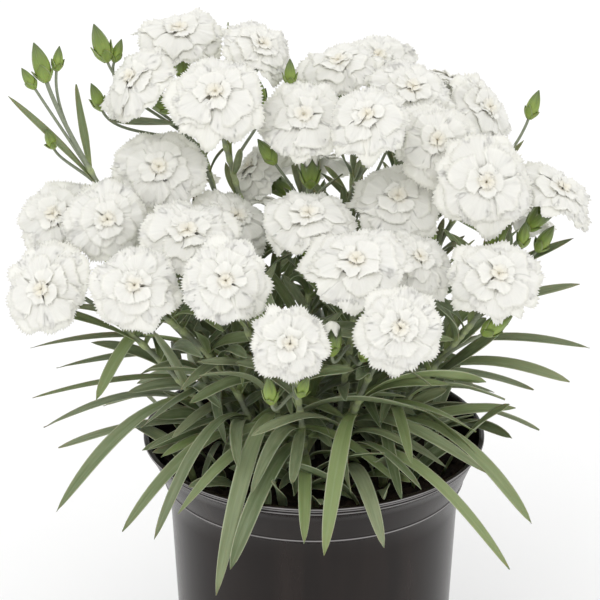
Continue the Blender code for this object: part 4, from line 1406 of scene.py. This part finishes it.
@dataclass
class NurseryPot:
    """The pot: a thin turned wall with a ridged lip, a flared band and a slightly tapered body.

    The lip's points are measured in mm out and up from the rim's outer corner, and the band's points are its
    depth under the rim and how far it stands out from the flare. The glint points stand on lips and ridges,
    which get a painted highlight.
    """

    sizes: PotSizes = POT
    sides: int = 160
    rounding: float = 2 * MM
    pin: float = 0.6 * MM
    lip_points: tuple = ((-2.2, 0.0), (-0.7, 0.0), (-0.2, -0.2), (0.0, -0.6), (0.0, -1.3), (-0.5, -1.7))
    band_points: tuple = (
        (1.9, 0.0), (2.3, 0.7), (2.9, 0.7), (3.3, 0.0), (3.9, 0.0), (4.3, 0.65), (4.8, 0.65), (5.3, 0.0),
        (10.0, 0.0), (16.0, 0.0), (21.6, 0.0), (22.2, 0.0), (22.6, 0.55), (23.3, 0.7), (23.9, 0.5),
        (24.4, 0.0),
    )
    glint_points: tuple[int, ...] = (3, 7, 11, 18)

    def outer(self) -> Points:
        """Radius and height down the outside: the lip, the flared band and its bead, the body, the foot.

        Returns:
            The points from the lip down.
        """
        s = self.sizes
        lip = np.array((s.rim_radius, s.height)) + np.array(self.lip_points) * MM
        under, stand = (np.array(self.band_points) * MM).T
        flare = (s.band_foot_radius - 0.2 * MM, s.rim_radius - 0.9 * MM)
        band = np.interp(s.height - under, (s.band_foot, s.height), flare) + stand
        step = np.array(((s.band_foot_radius - 1.0 * MM, s.band_foot - 0.1 * MM),))
        drop = np.linspace(0.0, 1.0, 16)
        body = (s.body_top_radius + (s.body_foot_radius - s.body_top_radius) * drop,
                (s.band_foot - 1.2 * MM) * (1 - drop) + self.rounding * drop)
        turn = np.linspace(0.15, 1.0, 5) * math.pi / 2
        base = (s.body_foot_radius - self.rounding * (1 - np.cos(turn)), self.rounding * (1 - np.sin(turn)))
        foot = np.array(((s.body_foot_radius * 0.8, 0.0), (s.body_foot_radius * 0.4, 0.0), (self.pin, 0.0)))
        parts = [np.stack(part, axis=1) for part in ((band, s.height - under), body, base)]
        return np.concatenate((lip, parts[0], step, *parts[1:], foot))

    def inner(self) -> Points:
        """Radius and height from the middle of the floor up the inside to the lip.

        Returns:
            The points from the floor up.
        """
        s = self.sizes
        throat = s.rim_radius - s.lip
        return np.array((
            (self.pin, s.floor), (s.body_foot_radius * 0.5, s.floor), (s.body_foot_radius - s.wall, s.floor),
            (s.body_top_radius - s.wall, s.band_foot - 1 * MM),
            (s.band_foot_radius - s.wall, s.band_foot + 2 * MM),
            (throat - 3.4 * MM, s.height - 8 * MM),
            (throat - 0.9 * MM, s.height - 2.2 * MM),
            (throat - 0.6 * MM, s.height - 0.8 * MM),
        ))

    def build(self, finish: Material) -> None:
        """Turns the profile about the axis; the tone layer holds 1 on each ridge with a painted highlight, 0
        elsewhere.

        Args:
            finish: its material.
        """
        inner, outer = self.inner(), self.outer()
        # Painted highlight: the finish turns the ridges marked 1 here pale, standing in for glints of light.
        wear_and_glint = np.zeros(len(inner) + len(outer))
        wear_and_glint[len(inner) + np.array(self.glint_points)] = 1.0
        skin = Skin("pot_shell")
        rings = turned(np.concatenate((inner, outer))[::-1], self.sides)
        skin.add_tube(rings, tone=np.repeat(wear_and_glint[::-1], self.sides))
        place(skin.piece(), finish, "pot_plastic", "pot")


@dataclass
class SoilBed:
    """The compost: a rough plug that fits the pot, with loose crumbs on top."""

    sizes: PotSizes = POT
    sides: int = 150
    rings: int = 60
    fit: float = 0.5 * MM
    reach: float = 75 * MM
    relief: float = 1.6 * MM
    wave_lengths: tuple[float, float, int] = (3.0, 30.0, 22)
    crumbs: int = 500
    crumb_reach: float = 76 * MM
    crumb_rings: tuple = ((0.45, -0.6), (1.0, -0.15), (0.9, 0.35), (0.35, 0.7))
    crumb_sides: int = 6
    seed: int = 7

    def level(self, across: Points, back: Points) -> Points:
        """Height of the top: a low crown, plus waves of many lengths and directions added together.

        Args:
            across: X of each point.
            back: Y of each point.

        Returns:
            The heights.
        """
        chance = np.random.default_rng(self.seed)
        shortest, longest, count = self.wave_lengths
        crown = self.sizes.soil_crown * (1 - (np.hypot(across, back) / self.reach) ** 2)
        waves = np.zeros_like(across)
        for length in np.geomspace(shortest, longest, count) * MM:
            turn, phase = chance.uniform(0, 2 * math.pi, 2)
            way = across * math.cos(turn) + back * math.sin(turn)
            waves += np.sin(2 * math.pi * way / length + phase) * (length / (longest * MM)) ** 0.5
        return self.sizes.soil_top + crown + self.relief * 0.35 * waves

    def plug(self, finish: Material) -> None:
        """The plug: rings of points from the middle of the top out to the wall and down to the floor.

        Args:
            finish: its material.
        """
        s = self.sizes
        heights = (s.band_foot + 2 * MM, s.height - 2.5 * MM)
        edge = np.interp(s.soil_top, heights, (s.band_foot_radius - s.wall, s.rim_radius - s.lip - 0.6 * MM))
        radii = (edge - 0.6 * MM) * np.linspace(0.01, 1.0, self.rings) ** 0.8
        top = turned(np.stack((radii, np.zeros(self.rings)), axis=1), self.sides)
        top[..., 2] = self.level(top[..., 0], top[..., 1])
        side = turned(np.array((
            (s.band_foot_radius - s.wall - self.fit, s.band_foot + 2 * MM),
            (s.body_top_radius - s.wall - self.fit, s.band_foot - 1 * MM),
            (s.body_foot_radius - s.wall - self.fit, s.floor + self.fit),
            (0.6 * MM, s.floor + self.fit),
        )), self.sides)
        skin = Skin("soil_bed")
        skin.add_tube(np.concatenate((top, side))[::-1])
        place(skin.piece(), finish, "soil", "soil")

    def loose(self, finish: Material) -> None:
        """Loose crumbs: small uneven lumps, each four rings of points between two ends, sunk in the top.

        Args:
            finish: its material.
        """
        chance = np.random.default_rng(self.seed + 1)
        reach = self.crumb_reach * np.sqrt(chance.uniform(0.02, 1.0, self.crumbs))
        turn = chance.uniform(0, 2 * math.pi, self.crumbs)
        across, back = reach * np.cos(turn), reach * np.sin(turn)
        middle = np.stack((across, back, self.level(across, back)), axis=1)
        size = chance.uniform(0.5, 1.5, self.crumbs) ** 2 * MM
        lump = turned(np.array(self.crumb_rings), self.crumb_sides)
        rows, sides = lump.shape[:2]
        uneven = 1 + chance.uniform(-0.3, 0.3, (self.crumbs, *lump.shape))
        lumps = middle[:, None, None, :] + size[:, None, None, None] * lump[None] * uneven
        ends = np.stack((np.arange(sides)[::-1], np.arange(sides) + (rows - 1) * sides))
        step = (rows * sides * np.arange(self.crumbs))[:, None, None]
        faces = [(part[None] + step).reshape(-1, part.shape[1]) for part in (ring_quads(rows, sides), ends)]
        skin = Skin("soil_crumbs")
        skin.add(lumps, faces)
        place(skin.piece(), finish, "soil")

    def build(self, finish: Material) -> None:
        """The plug and its crumbs."""
        self.plug(finish)
        self.loose(finish)


class Layer(NamedTuple):
    """A layer of petals.

    How many, their reach as a share of the bloom's radius, half their angle (degrees), how far their ends
    may rise off the layer below, the size of their own waves and of their lengthwise crease (mm), and how
    many teeth their ends have.
    """

    petals: int
    reach: float
    half_angle: float
    rise: float
    wave: float
    crease: float
    teeth: int


@dataclass
class DoubleBloom:
    """A double bloom: broad toothed petals that lie over each other as a ruffled dome, creased within.

    Each wave of the dome has its count round the bloom, its height in mm and the number of its phase, and
    each ring of the heart its radius and height as shares of the bloom's radius and crown.
    """

    number: int
    place: SetBloom
    tooth: float = 1.45 * MM
    fullness: float = 1.03
    thickness: float = 0.22 * MM
    crown: float = 14.6 * MM
    drop: float = 7.4 * MM
    corner_droop: float = 0.3 * MM
    fine_wave: float = 0.2 * MM
    layer_gap: float = 0.34 * MM
    throat: float = 0.3
    layers: tuple[Layer, ...] = (
        Layer(5, 1.00, 44, 0.3, 0.15, 0.0, 22),
        Layer(5, 0.94, 44, 0.5, 0.2, 0.15, 22),
        Layer(4, 0.76, 45, 0.8, 0.35, 0.35, 20),
        Layer(4, 0.44, 50, 1.2, 0.6, 0.9, 13),
        Layer(3, 0.20, 74, 0.7, 0.4, 0.8, 8),
    )
    rows: tuple[float, ...] = (0.0, 0.3, 0.52, 0.74, 0.92, 1.0)
    ruffles: tuple = ((2, 1.7, 0), (3, 1.5, 1))
    folds: tuple = ((5, 1.3, 2), (8, 1.0, 3))
    pleats: tuple = ((13, 0.6, 4), (21, 0.45, 9), (29, 0.24, 7))
    heart_rings: tuple = ((0.05, 0.1), (0.09, 0.35), (0.13, 0.6), (0.14, 0.76), (0.10, 0.84), (0.03, 0.86))
    heart_sides: int = 12

    def dome(self, reach: Points, angle: Points, phases: Points) -> Points:
        """Height of the bloom's common face: a low dome, plus waves round it that grow towards its edge.

        Args:
            reach: distance from the axis as a share of the bloom's radius.
            angle: angle round the axis.
            phases: where each of the waves starts.

        Returns:
            The heights above the bloom's foot.
        """
        angle = angle + 0.2 * np.sin(angle + phases[7]) + 0.12 * np.sin(2 * angle + phases[8])
        ruffles, folds, pleats = (
            sum(high * np.sin(count * angle + phases[phase]) for count, high, phase in waves)
            for waves in (self.ruffles, self.folds, self.pleats)
        )
        swell = (ruffles + folds * reach) * reach**1.4 + pleats * reach**1.8
        return self.crown - self.drop * reach**2.5 + swell * MM

    def petals(self, depth: int, start: float, phases: Points, chance: np.random.Generator) -> tuple:
        """The upper faces of one layer.

        A petal is a fan: the angle round the bloom's axis runs from one side to the other. It climbs the
        cup's throat and then follows the dome out. Its corners are drawn in, its end lifts a little, one
        side lies over its neighbour, and it has waves of its own and a crease lengthwise.

        Args:
            depth: the layer's number from the outermost, 0.
            start: the angle of its first petal.
            phases: where the dome's waves start.
            chance: the bloom's own draw.

        Returns:
            The points as petals x rows x columns x 3, with one more row past the end for the teeth's
            tips, and where across the petal each column stands.
        """
        layer = self.layers[depth]
        count, spread, columns = layer.petals, self.fullness * self.place.width / 2 * MM, layer.teeth + 1

        def draw(low: float, high: float) -> Points:
            """A number for each petal of the layer."""
            return chance.uniform(low, high, (count, 1, 1))

        s = np.array((*self.rows, 1.0))[None, :, None]
        t = np.linspace(-1, 1, columns) + chance.uniform(-0.28, 0.28, (count, columns)) * 2 / layer.teeth
        t[:, 0], t[:, -1] = -1.0, 1.0
        t = t[:, None, :] + 0 * s
        t[:, -1, :-1] = (t[:, -2, :-1] + t[:, -2, 1:]) / 2
        shown = np.clip((s - self.throat) / (1 - self.throat), 0, 1)
        uneven = 0.13 + 0.36 * (1 - layer.reach)
        reach = layer.reach * draw(1 - uneven, 1.04) * (1 - draw(0.1, 0.3) * np.abs(t) ** 2.6)
        reach = reach * (1 + draw(0.02, 0.08) * np.sin(t * draw(3.0, 8.0) + draw(0, 6.3)))
        mouth, foot = 0.16 + 0.2 * layer.reach, 0.035
        inside = foot + (mouth * reach - foot) * s / self.throat
        out = np.where(s <= self.throat, inside, reach * (mouth + (1 - mouth) * shown))
        angle = np.radians(layer.half_angle) * (0.6 + 0.4 * s) * t * draw(0.9, 1.06)
        angle = angle + start + (2 * math.pi / count) * np.arange(count)[:, None, None] + draw(-0.2, 0.2)
        up = self.dome(out, angle, phases) + depth * self.layer_gap
        climb = SEAT_GAP + (up - SEAT_GAP) * (s / self.throat) ** 0.8
        up = np.where(s <= self.throat, climb, up)
        stand = 0.5 + 0.5 * np.sin(2 * angle + phases[5]) * np.sin(3 * angle + phases[6])
        lift = stand * layer.rise * MM * shown**1.8
        side = draw(0.12, 0.3) * MM * t * shown - self.corner_droop * np.abs(t) ** 2.5 * shown**2
        wave = layer.wave * MM * shown**1.3 * (1 + np.sin(t * draw(4.0, 8.5) + draw(0, 6.3)))
        wave += self.fine_wave * shown**2 * np.sin(t * draw(13.0, 19.0) + draw(0, 6.3))
        crease = layer.crease * MM * draw(-1.0, 1.0) * (2 * np.abs(t + draw(-0.3, 0.3)) - 1) * shown
        up = up + lift + side + wave + crease
        out = out * spread - lift * 0.35 + 0.3 * (wave + crease) * (1 - layer.reach)
        length = chance.uniform(0.5, 1.3, (count, columns)) * self.tooth * (0.7 + 0.3 * layer.reach)
        out[:, -1] += length
        up[:, -1] += length * 0.15
        return np.stack((out * np.cos(angle), out * np.sin(angle), up), axis=3), t[:, :-1]

    def heart(self, skin: Skin, side: Points, other: Points) -> None:
        """A blunt cone of rolled young petals that fills the throat.

        Args:
            skin: the bloom's mesh.
            side: a direction square to the bloom's axis.
            other: the direction square to both.
        """
        radii, heights = np.array(self.heart_rings).T[..., None, None]
        rings = radii * self.place.width / 2 * MM * around(side, other, circle(self.heart_sides))
        skin.add_tube(self.place.foot + heights * self.crown * self.place.axis + rings, along=0.1)

    def build(self, finish: Material) -> None:
        """Makes every layer and turns them to face along the bloom's axis.

        Args:
            finish: its material.
        """
        chance = np.random.default_rng(500 + self.number)
        side, other = frame_along(self.place.axis)
        facing = np.stack((side, other, self.place.axis))
        skin = Skin(f"bloom_{self.number:02d}_petals")
        start, phases = chance.uniform(0, 2 * math.pi), chance.uniform(0, 2 * math.pi, 10)
        for depth, layer in enumerate(self.layers):
            points, across = self.petals(depth, start, phases, chance)
            start += math.pi / layer.petals + chance.uniform(-0.2, 0.2)
            top, edge = points[:, :-1], points[:, -1, :-1]
            normal = unit(np.cross(np.gradient(top, axis=1), np.gradient(top, axis=2)))
            share = np.array(self.rows)[None, :, None] + 0 * across
            under = top - normal * self.thickness * (1.2 - 0.5 * share[..., None])
            tips = np.stack((edge, edge - normal[:, -1, :-1] * self.thickness * 0.5), axis=1)
            radius = np.hypot(top[..., 0], top[..., 1]) / (self.place.width / 2 * MM)
            tone = np.broadcast_to(chance.uniform(0, 1, (layer.petals, 1, 1)), share.shape)
            ready = [self.place.foot + part @ facing for part in (top, under, tips)]
            skin.add_slabs(*ready, along=radius, across=across, tone=tone)
        self.heart(skin, side, other)
        place(skin.piece(), finish, "petal_white", f"bloom_{self.number:02d}")


class Shaped(NamedTuple):
    """A cup or bud before it is set on its stem: heights, radii, and its along and across layers."""

    heights: Points
    radii: Points
    along: Points
    across: Points


@dataclass
class LeafyStem:
    """A leafy stem: its stalks with swollen joints, its leaves, and its cups and buds.

    The bell, the flame and the roll give the radius of a cup (mm), a bud and its petals (shares of the
    widest) at shares of the length. Inside, a cup's rows lie down and inward from those outside (mm).
    """

    number: int
    plan: PlantPlan
    tube_sides: int = 10
    tube_rows: tuple[int, int] = (64, 26)
    slimness: tuple[float, float] = (0.88, 0.74)
    joint_swelling: float = 0.45
    joint_length: float = 1.8 * MM
    sunk_share: float = 0.8
    tail: tuple[float, float] = (0.8 * MM, 2.2 * MM)
    blade_rows: int = 17
    blade_columns: int = 7
    least_half_width: float = 0.12 * MM
    groove_depth: float = 0.25 * MM
    ripple_height: float = 0.4 * MM
    margin_thickness: float = 0.25 * MM
    keel_thickness: float = 0.5 * MM
    full_keel_width: float = 6 * MM
    teeth: int = 5
    points_a_tooth: int = 6
    tooth_length: float = 5.0 * MM
    tooth_flare: float = 0.7 * MM
    bell: tuple = ((0, 0.07, 0.2, 0.5, 0.8, 1), (1.0, 2.3, 3.2, 4.1, 4.7, 5.1))
    flame: tuple = ((0, 0.05, 0.14, 0.28, 0.42, 0.58, 0.74, 0.88, 0.96, 1),
                    (0.3, 0.52, 0.8, 0.98, 1.0, 0.88, 0.64, 0.34, 0.15, 0.05))
    cup_rows: tuple = (0.0, 0.06, 0.14, 0.25, 0.4, 0.55, 0.7, 0.82, 0.92, 1.0)
    cup_short: float = 2.2 * MM
    cup_inside: tuple = ((0.05, 0.2, 0.3, 0.3, 0.3), (0.12, 0.4, 0.5, 0.5, 0.5))
    bud_slimness: float = 0.212
    opening_cup: float = 0.74
    opening_slimness: float = 0.24
    roll: tuple = ((0, 0.3, 0.55, 0.75, 0.9, 0.97, 1), (0.8, 1, 1, 0.86, 0.56, 0.3, 0.06))
    roll_slimness: float = 0.215
    scale_lengths: tuple = (1.0, 1.0, 0.72, 0.72)
    scale_turns: tuple = (0.0, 180.0, 90.0, -90.0)
    scale_share: float = 0.5
    scale_length: float = 7.0 * MM
    scale_thickness: float = 0.35 * MM
    scale_drop: float = 0.4 * MM

    @property
    def name(self) -> str:
        """The stem's node, which its pieces are named after."""
        return f"stem_{self.number:02d}"

    def along_axis(self, end: End, heights: Points, radii: Points, turn: float = 0.0) -> Points:
        """Rings round an end's axis, from heights and radii given as rows x sides."""
        ring = around(*frame_along(end.axis), circle(heights.shape[1]) + turn)
        return end.foot + heights[..., None] * end.axis + radii[..., None] * ring[None]

    def stalks(self, finish: Material) -> None:
        """Tubes along the branches: each ring is square to the line, and swells where leaves or forks sit.

        Args:
            finish: its material.
        """
        skin = Skin(self.name + "_stalks")
        branches = self.plan.branches[self.number]
        roots = [leaf.root for leaf in self.plan.leaves[self.number]]
        roots = np.array(roots + [branch.controls[0] for branch in branches[1:]])
        for branch, end in zip(branches, self.plan.ends[self.number]):
            fork = int(branch is not branches[0])
            line = branch.points(self.tube_rows[fork])
            head = line[:1 - fork] - UP * (self.plan.stem_sunk + POT.socket_depth * self.sunk_share)
            line = np.concatenate((head, line, end.foot + np.outer(self.tail, end.axis)))
            near = np.min(np.linalg.norm(line[:, None] - roots[None], axis=2), axis=1)
            joint = np.exp(-((near / self.joint_length) ** 2))
            radii = np.linspace(branch.foot_radius, branch.tip_radius, len(line))
            radii = radii * self.slimness[fork] * (1 + self.joint_swelling * joint)
            ahead = unit(np.gradient(line, axis=0))
            square = np.eye(3)[int(np.argmin(np.abs(ahead).max(axis=0)))]
            side = unit(np.cross(square, ahead))
            ring = around(side[:, None], np.cross(ahead, side)[:, None], circle(self.tube_sides))
            tone = np.repeat(joint, self.tube_sides)
            skin.add_tube(line[:, None] + radii[:, None, None] * ring, tone=tone)
        place(skin.piece(), finish, "leaf_green", self.name)

    def leaves(self, finish: Material) -> None:
        """Blades: raised towards both edges, grooved along the middle above and keeled beneath.

        Args:
            finish: its material.
        """
        chance = np.random.default_rng(700 + self.number)
        part = np.linspace(0, 1, self.blade_rows) ** 0.85
        t = np.linspace(-1, 1, self.blade_columns)
        rise = (0.35 + 0.65 * np.sin(math.pi * part * 0.97))[:, None]
        groove = self.groove_depth * np.exp(-((t / 0.2) ** 2))
        keel = self.margin_thickness + self.keel_thickness * np.exp(-((t / 0.25) ** 2))
        thin = (0.35 + 0.65 * np.minimum(1.0, (1 - part) / 0.25))[:, None]
        tops, unders = [], []
        for leaf in self.plan.leaves[self.number]:
            share = np.interp(part, np.linspace(0, 1, 60), leaf.even_shares(60))
            line, sideways, face = leaf.directions(share, leaf.twist(chance))
            half = leaf.grown_half_width(part, chance.uniform(3.2, 8.5))
            half = np.maximum(half, self.least_half_width)[:, None]
            lift = 0.26 * half * np.abs(t) ** 1.3 * rise
            ripple = self.ripple_height * np.sin(2 * math.pi * (1.2 * part + chance.uniform()))[:, None]
            lift = lift - groove + ripple * t * part[:, None]
            top = line[:, None] + sideways[:, None] * (half * t)[..., None]
            tops.append(top + face[:, None] * lift[..., None])
            depth = keel * min(1.0, leaf.width / self.full_keel_width) * thin
            unders.append(tops[-1] - face[:, None] * depth[..., None])
        top, under = np.stack(tops), np.stack(unders)
        shape = top.shape[:3]
        tone = np.broadcast_to(chance.uniform(0, 1, (shape[0], 1, 1)), shape)
        along, across = np.broadcast_to(part[None, :, None], shape), np.broadcast_to(t[None, None, :], shape)
        skin = Skin(self.name + "_leaves")
        skin.add_slabs(top, under, along=along, across=across, tone=tone)
        place(skin.piece(), finish, "leaf_green")

    def cup(self, end: End) -> Shaped:
        """A cup: a slender bell with five pointed teeth, outside from the foot up and inside down again.

        Args:
            end: the cup's place and length.

        Returns:
            The shape.
        """
        sides = self.teeth * self.points_a_tooth
        v = np.array(self.cup_rows)[:, None]
        wave = np.abs((np.arange(sides) * self.teeth / sides) % 1.0 * 2 - 1)[None, :]
        climb = np.clip((v - 0.5) / 0.5, 0, 1) ** 1.3
        heights = v * (end.length - self.cup_short) + climb * wave**1.2 * self.tooth_length
        radii = np.interp(v, *self.bell) * MM * (1 + 0.05 * np.cos(2 * math.pi * wave))
        radii = radii + climb * wave * self.tooth_flare
        down, inward = np.array(self.cup_inside)[..., None] * MM
        back = slice(None, -len(down) - 1, -1)
        share = np.concatenate((v, v[back]))
        heights = np.concatenate((heights, heights[back] - down))
        seam = (1 - wave) * np.clip(share * 1.6 - 0.5, 0, 1)
        radii = np.concatenate((radii, radii[back] - inward))
        return Shaped(heights, radii, np.broadcast_to(share, heights.shape), seam)

    def bud(self, end: End) -> Shaped:
        """A bud: a flame shape, fullest below its middle and drawn to a point, folded into five lobes.

        An opening bud is a cup with long teeth instead.

        Args:
            end: the bud's place, length and state.

        Returns:
            The shape.
        """
        if end.state is BudState.SHOWING:
            cup = self.cup(end._replace(length=self.opening_cup * end.length))
            radii = np.minimum(cup.radii, self.opening_slimness * end.length)
            return cup._replace(heights=cup.heights * 1.02, radii=radii)
        v = np.concatenate((np.linspace(0, 0.9, 14), (0.95, 0.985, 1.0)))[:, None]
        wave = np.cos(self.teeth * circle(self.teeth * self.points_a_tooth))[None, :]
        radii = self.bud_slimness * end.length * np.interp(v, *self.flame)
        radii = radii * (1 + wave * (0.015 + 0.13 * v**1.5))
        seam = np.clip(-wave, 0, 1) ** 6 * np.clip(v * 3 - 1, 0, 1)
        along = np.broadcast_to(v, radii.shape)
        return Shaped(along * end.length, radii, along, seam)

    def scales(self, end: End, skin: Skin, chance: np.random.Generator) -> None:
        """Two pairs of pointed scales that hug the foot of a cup or bud.

        Args:
            end: the cup or bud.
            skin: the mesh that they are added to.
            chance: the draw of their turn and tone.
        """
        tall = self.scale_share * end.length if end.bloom is None else self.scale_length
        length = (np.array(self.scale_lengths) * tall)[:, None, None]
        s = np.linspace(0, 1, 7)[None, :, None]
        t = np.linspace(-1, 1, 5)[None, None, :]
        turn = np.radians(self.scale_turns)[:, None, None] + chance.uniform(0, 3)
        widest = 1.05 * np.minimum(1.0, 0.7 + s) * (1 - s**1.8) + 0.03
        if end.bloom is not None:
            hug = np.interp(s * length / MM, (0, 1, 3, 8), (1.3, 2.4, 3.3, 4.5)) * MM
        else:
            swell = np.sin(math.pi / 2 * np.minimum(1.0, s * length / (0.3 * end.length)))
            hug = (0.06 + 0.163 * swell) * end.length
        reach = hug + (0.35 + 0.7 * s**4) * MM + 0.25 * MM * (1 - np.abs(t))
        out = around(*frame_along(end.axis), turn + widest * t)
        height = s * length - self.scale_drop + 0 * t
        top = end.foot + end.axis * height[..., None] + out * reach[..., None]
        shape = top.shape[:3]
        along, across = np.broadcast_to(0.25 + 0.5 * s, shape), np.broadcast_to(t, shape)
        tone = np.full(shape, chance.uniform())
        skin.add_slabs(top, top - out * self.scale_thickness, along=along, across=across, tone=tone)

    def cups(self, finish: Material) -> None:
        """The cups and buds with their scales.

        Args:
            finish: its material.
        """
        skin = Skin(self.name + "_cups")
        chance = np.random.default_rng(900 + self.number)
        for end in self.plan.ends[self.number]:
            turn = chance.uniform(0, 2 * math.pi)
            shaped = self.bud(end) if end.bloom is None else self.cup(end)
            rings = self.along_axis(end, shaped.heights, shaped.radii, turn)
            skin.add_tube(rings, along=shaped.along, across=shaped.across, tone=chance.uniform())
            self.scales(end, skin, chance)
        place(skin.piece(), finish, "leaf_green")

    def bud_petals(self, finish: Material) -> None:
        """White petal tips, rolled together to a blunt point, that show above an opening bud.

        Args:
            finish: its material.
        """
        showing = [end for end in self.plan.ends[self.number] if end.state is BudState.SHOWING]
        if not showing:
            return
        skin = Skin(self.name + "_bud_petals")
        v = np.linspace(0, 1, 12)[:, None]
        wave = np.cos(3 * circle(20)[None, :] + 5 * v)
        for end in showing:
            heights = end.length * (0.45 + 0.55 * v) + 0 * wave
            radii = end.length * self.roll_slimness * np.interp(v, *self.roll) * (1 + 0.1 * wave)
            skin.add_tube(self.along_axis(end, heights, radii), along=0.3 + 0.6 * v + 0 * wave)
        place(skin.piece(), finish, "petal_white")


@dataclass(frozen=True)
class Studio:
    """A pale floor, soft light all round with a broad lamp from the upper left, and the camera."""

    pale: float = 0.97
    floor_size: float = 60.0
    floor_drop: float = 0.5 * MM
    surround: float = 1.0
    lamp_power: float = 0.5
    lamp_width: float = 40.0
    lamp_tilt: float = 38.0
    lamp_turn: float = -20.0

    def floor(self) -> None:
        """A wide pale floor."""
        bpy.ops.mesh.primitive_plane_add(size=self.floor_size, location=(0, 0, -self.floor_drop))
        ground = bpy.context.object
        ground.name = "floor"
        tree = Tree("studio_floor", 0.95, Specular_IOR_Level=0.1)
        tints = ((self.pale,) * 3, (self.pale * 0.99,) * 3)
        tint = tree.ramp(tree.noise(tree.where(), 3.0), *enumerate(tints))
        ground.data.materials.append(tree.done(tint))

    def stand(self, name: str, data: bpy.types.ID) -> bpy.types.Object:
        """A lamp or camera as an object of the scene.

        Args:
            name: its name.
            data: the lamp's or camera's own data.

        Returns:
            The object.
        """
        made = bpy.data.objects.new(name, data)
        bpy.context.scene.collection.objects.link(made)
        return made

    def build(self) -> None:
        """Sets the surround, the lamp, the floor and the camera."""
        world = bpy.data.worlds.new("studio")
        world.use_nodes = True
        world.node_tree.nodes["Background"].inputs["Color"].default_value = (1.0, 1.0, 1.0, 1.0)
        world.node_tree.nodes["Background"].inputs["Strength"].default_value = self.surround
        bpy.context.scene.world = world
        self.floor()
        light = bpy.data.lights.new("key", "SUN")
        light.energy = self.lamp_power
        light.angle = math.radians(self.lamp_width)
        self.stand("key", light).rotation_euler = np.radians((self.lamp_tilt, 0.0, self.lamp_turn))
        camera = bpy.data.cameras.new("camera")
        camera.lens = FRONT.lens
        camera.sensor_width = FRONT.sensor
        camera.clip_start, camera.clip_end = 0.05, 80.0
        made = self.stand("camera", camera)
        made.location = FRONT.eye()
        made.rotation_euler = (math.radians(90 - FRONT.rise), 0.0, 0.0)
        bpy.context.scene.camera = made
        bpy.context.scene.view_settings.view_transform = "Standard"


def main() -> None:
    """Builds the pot, the soil, the stems and the blooms, and the studio round them."""
    logging.basicConfig(level=logging.INFO, format="%(message)s")
    plan = PlantPlan()
    LOG.info("leaves of the solids: %d", sum(map(len, plan.leaves.values())))
    LOG.info("leaves added: %d", plan.fill_out())
    petals, leaves, stalks, cups = (
        finish().material() for finish in (PetalFinish, LeafFinish, StalkFinish, CupFinish)
    )
    NurseryPot().build(PotFinish().material())
    SoilBed().build(SoilFinish().material())
    for number in plan.feet:
        stem = LeafyStem(number, plan)
        stem.stalks(stalks)
        stem.leaves(leaves)
        stem.cups(cups)
        stem.bud_petals(petals)
    for number, bloom in enumerate(plan.blooms, 1):
        DoubleBloom(number, bloom).build(petals)
    Studio().build()


if __name__ == "__main__":
    main()
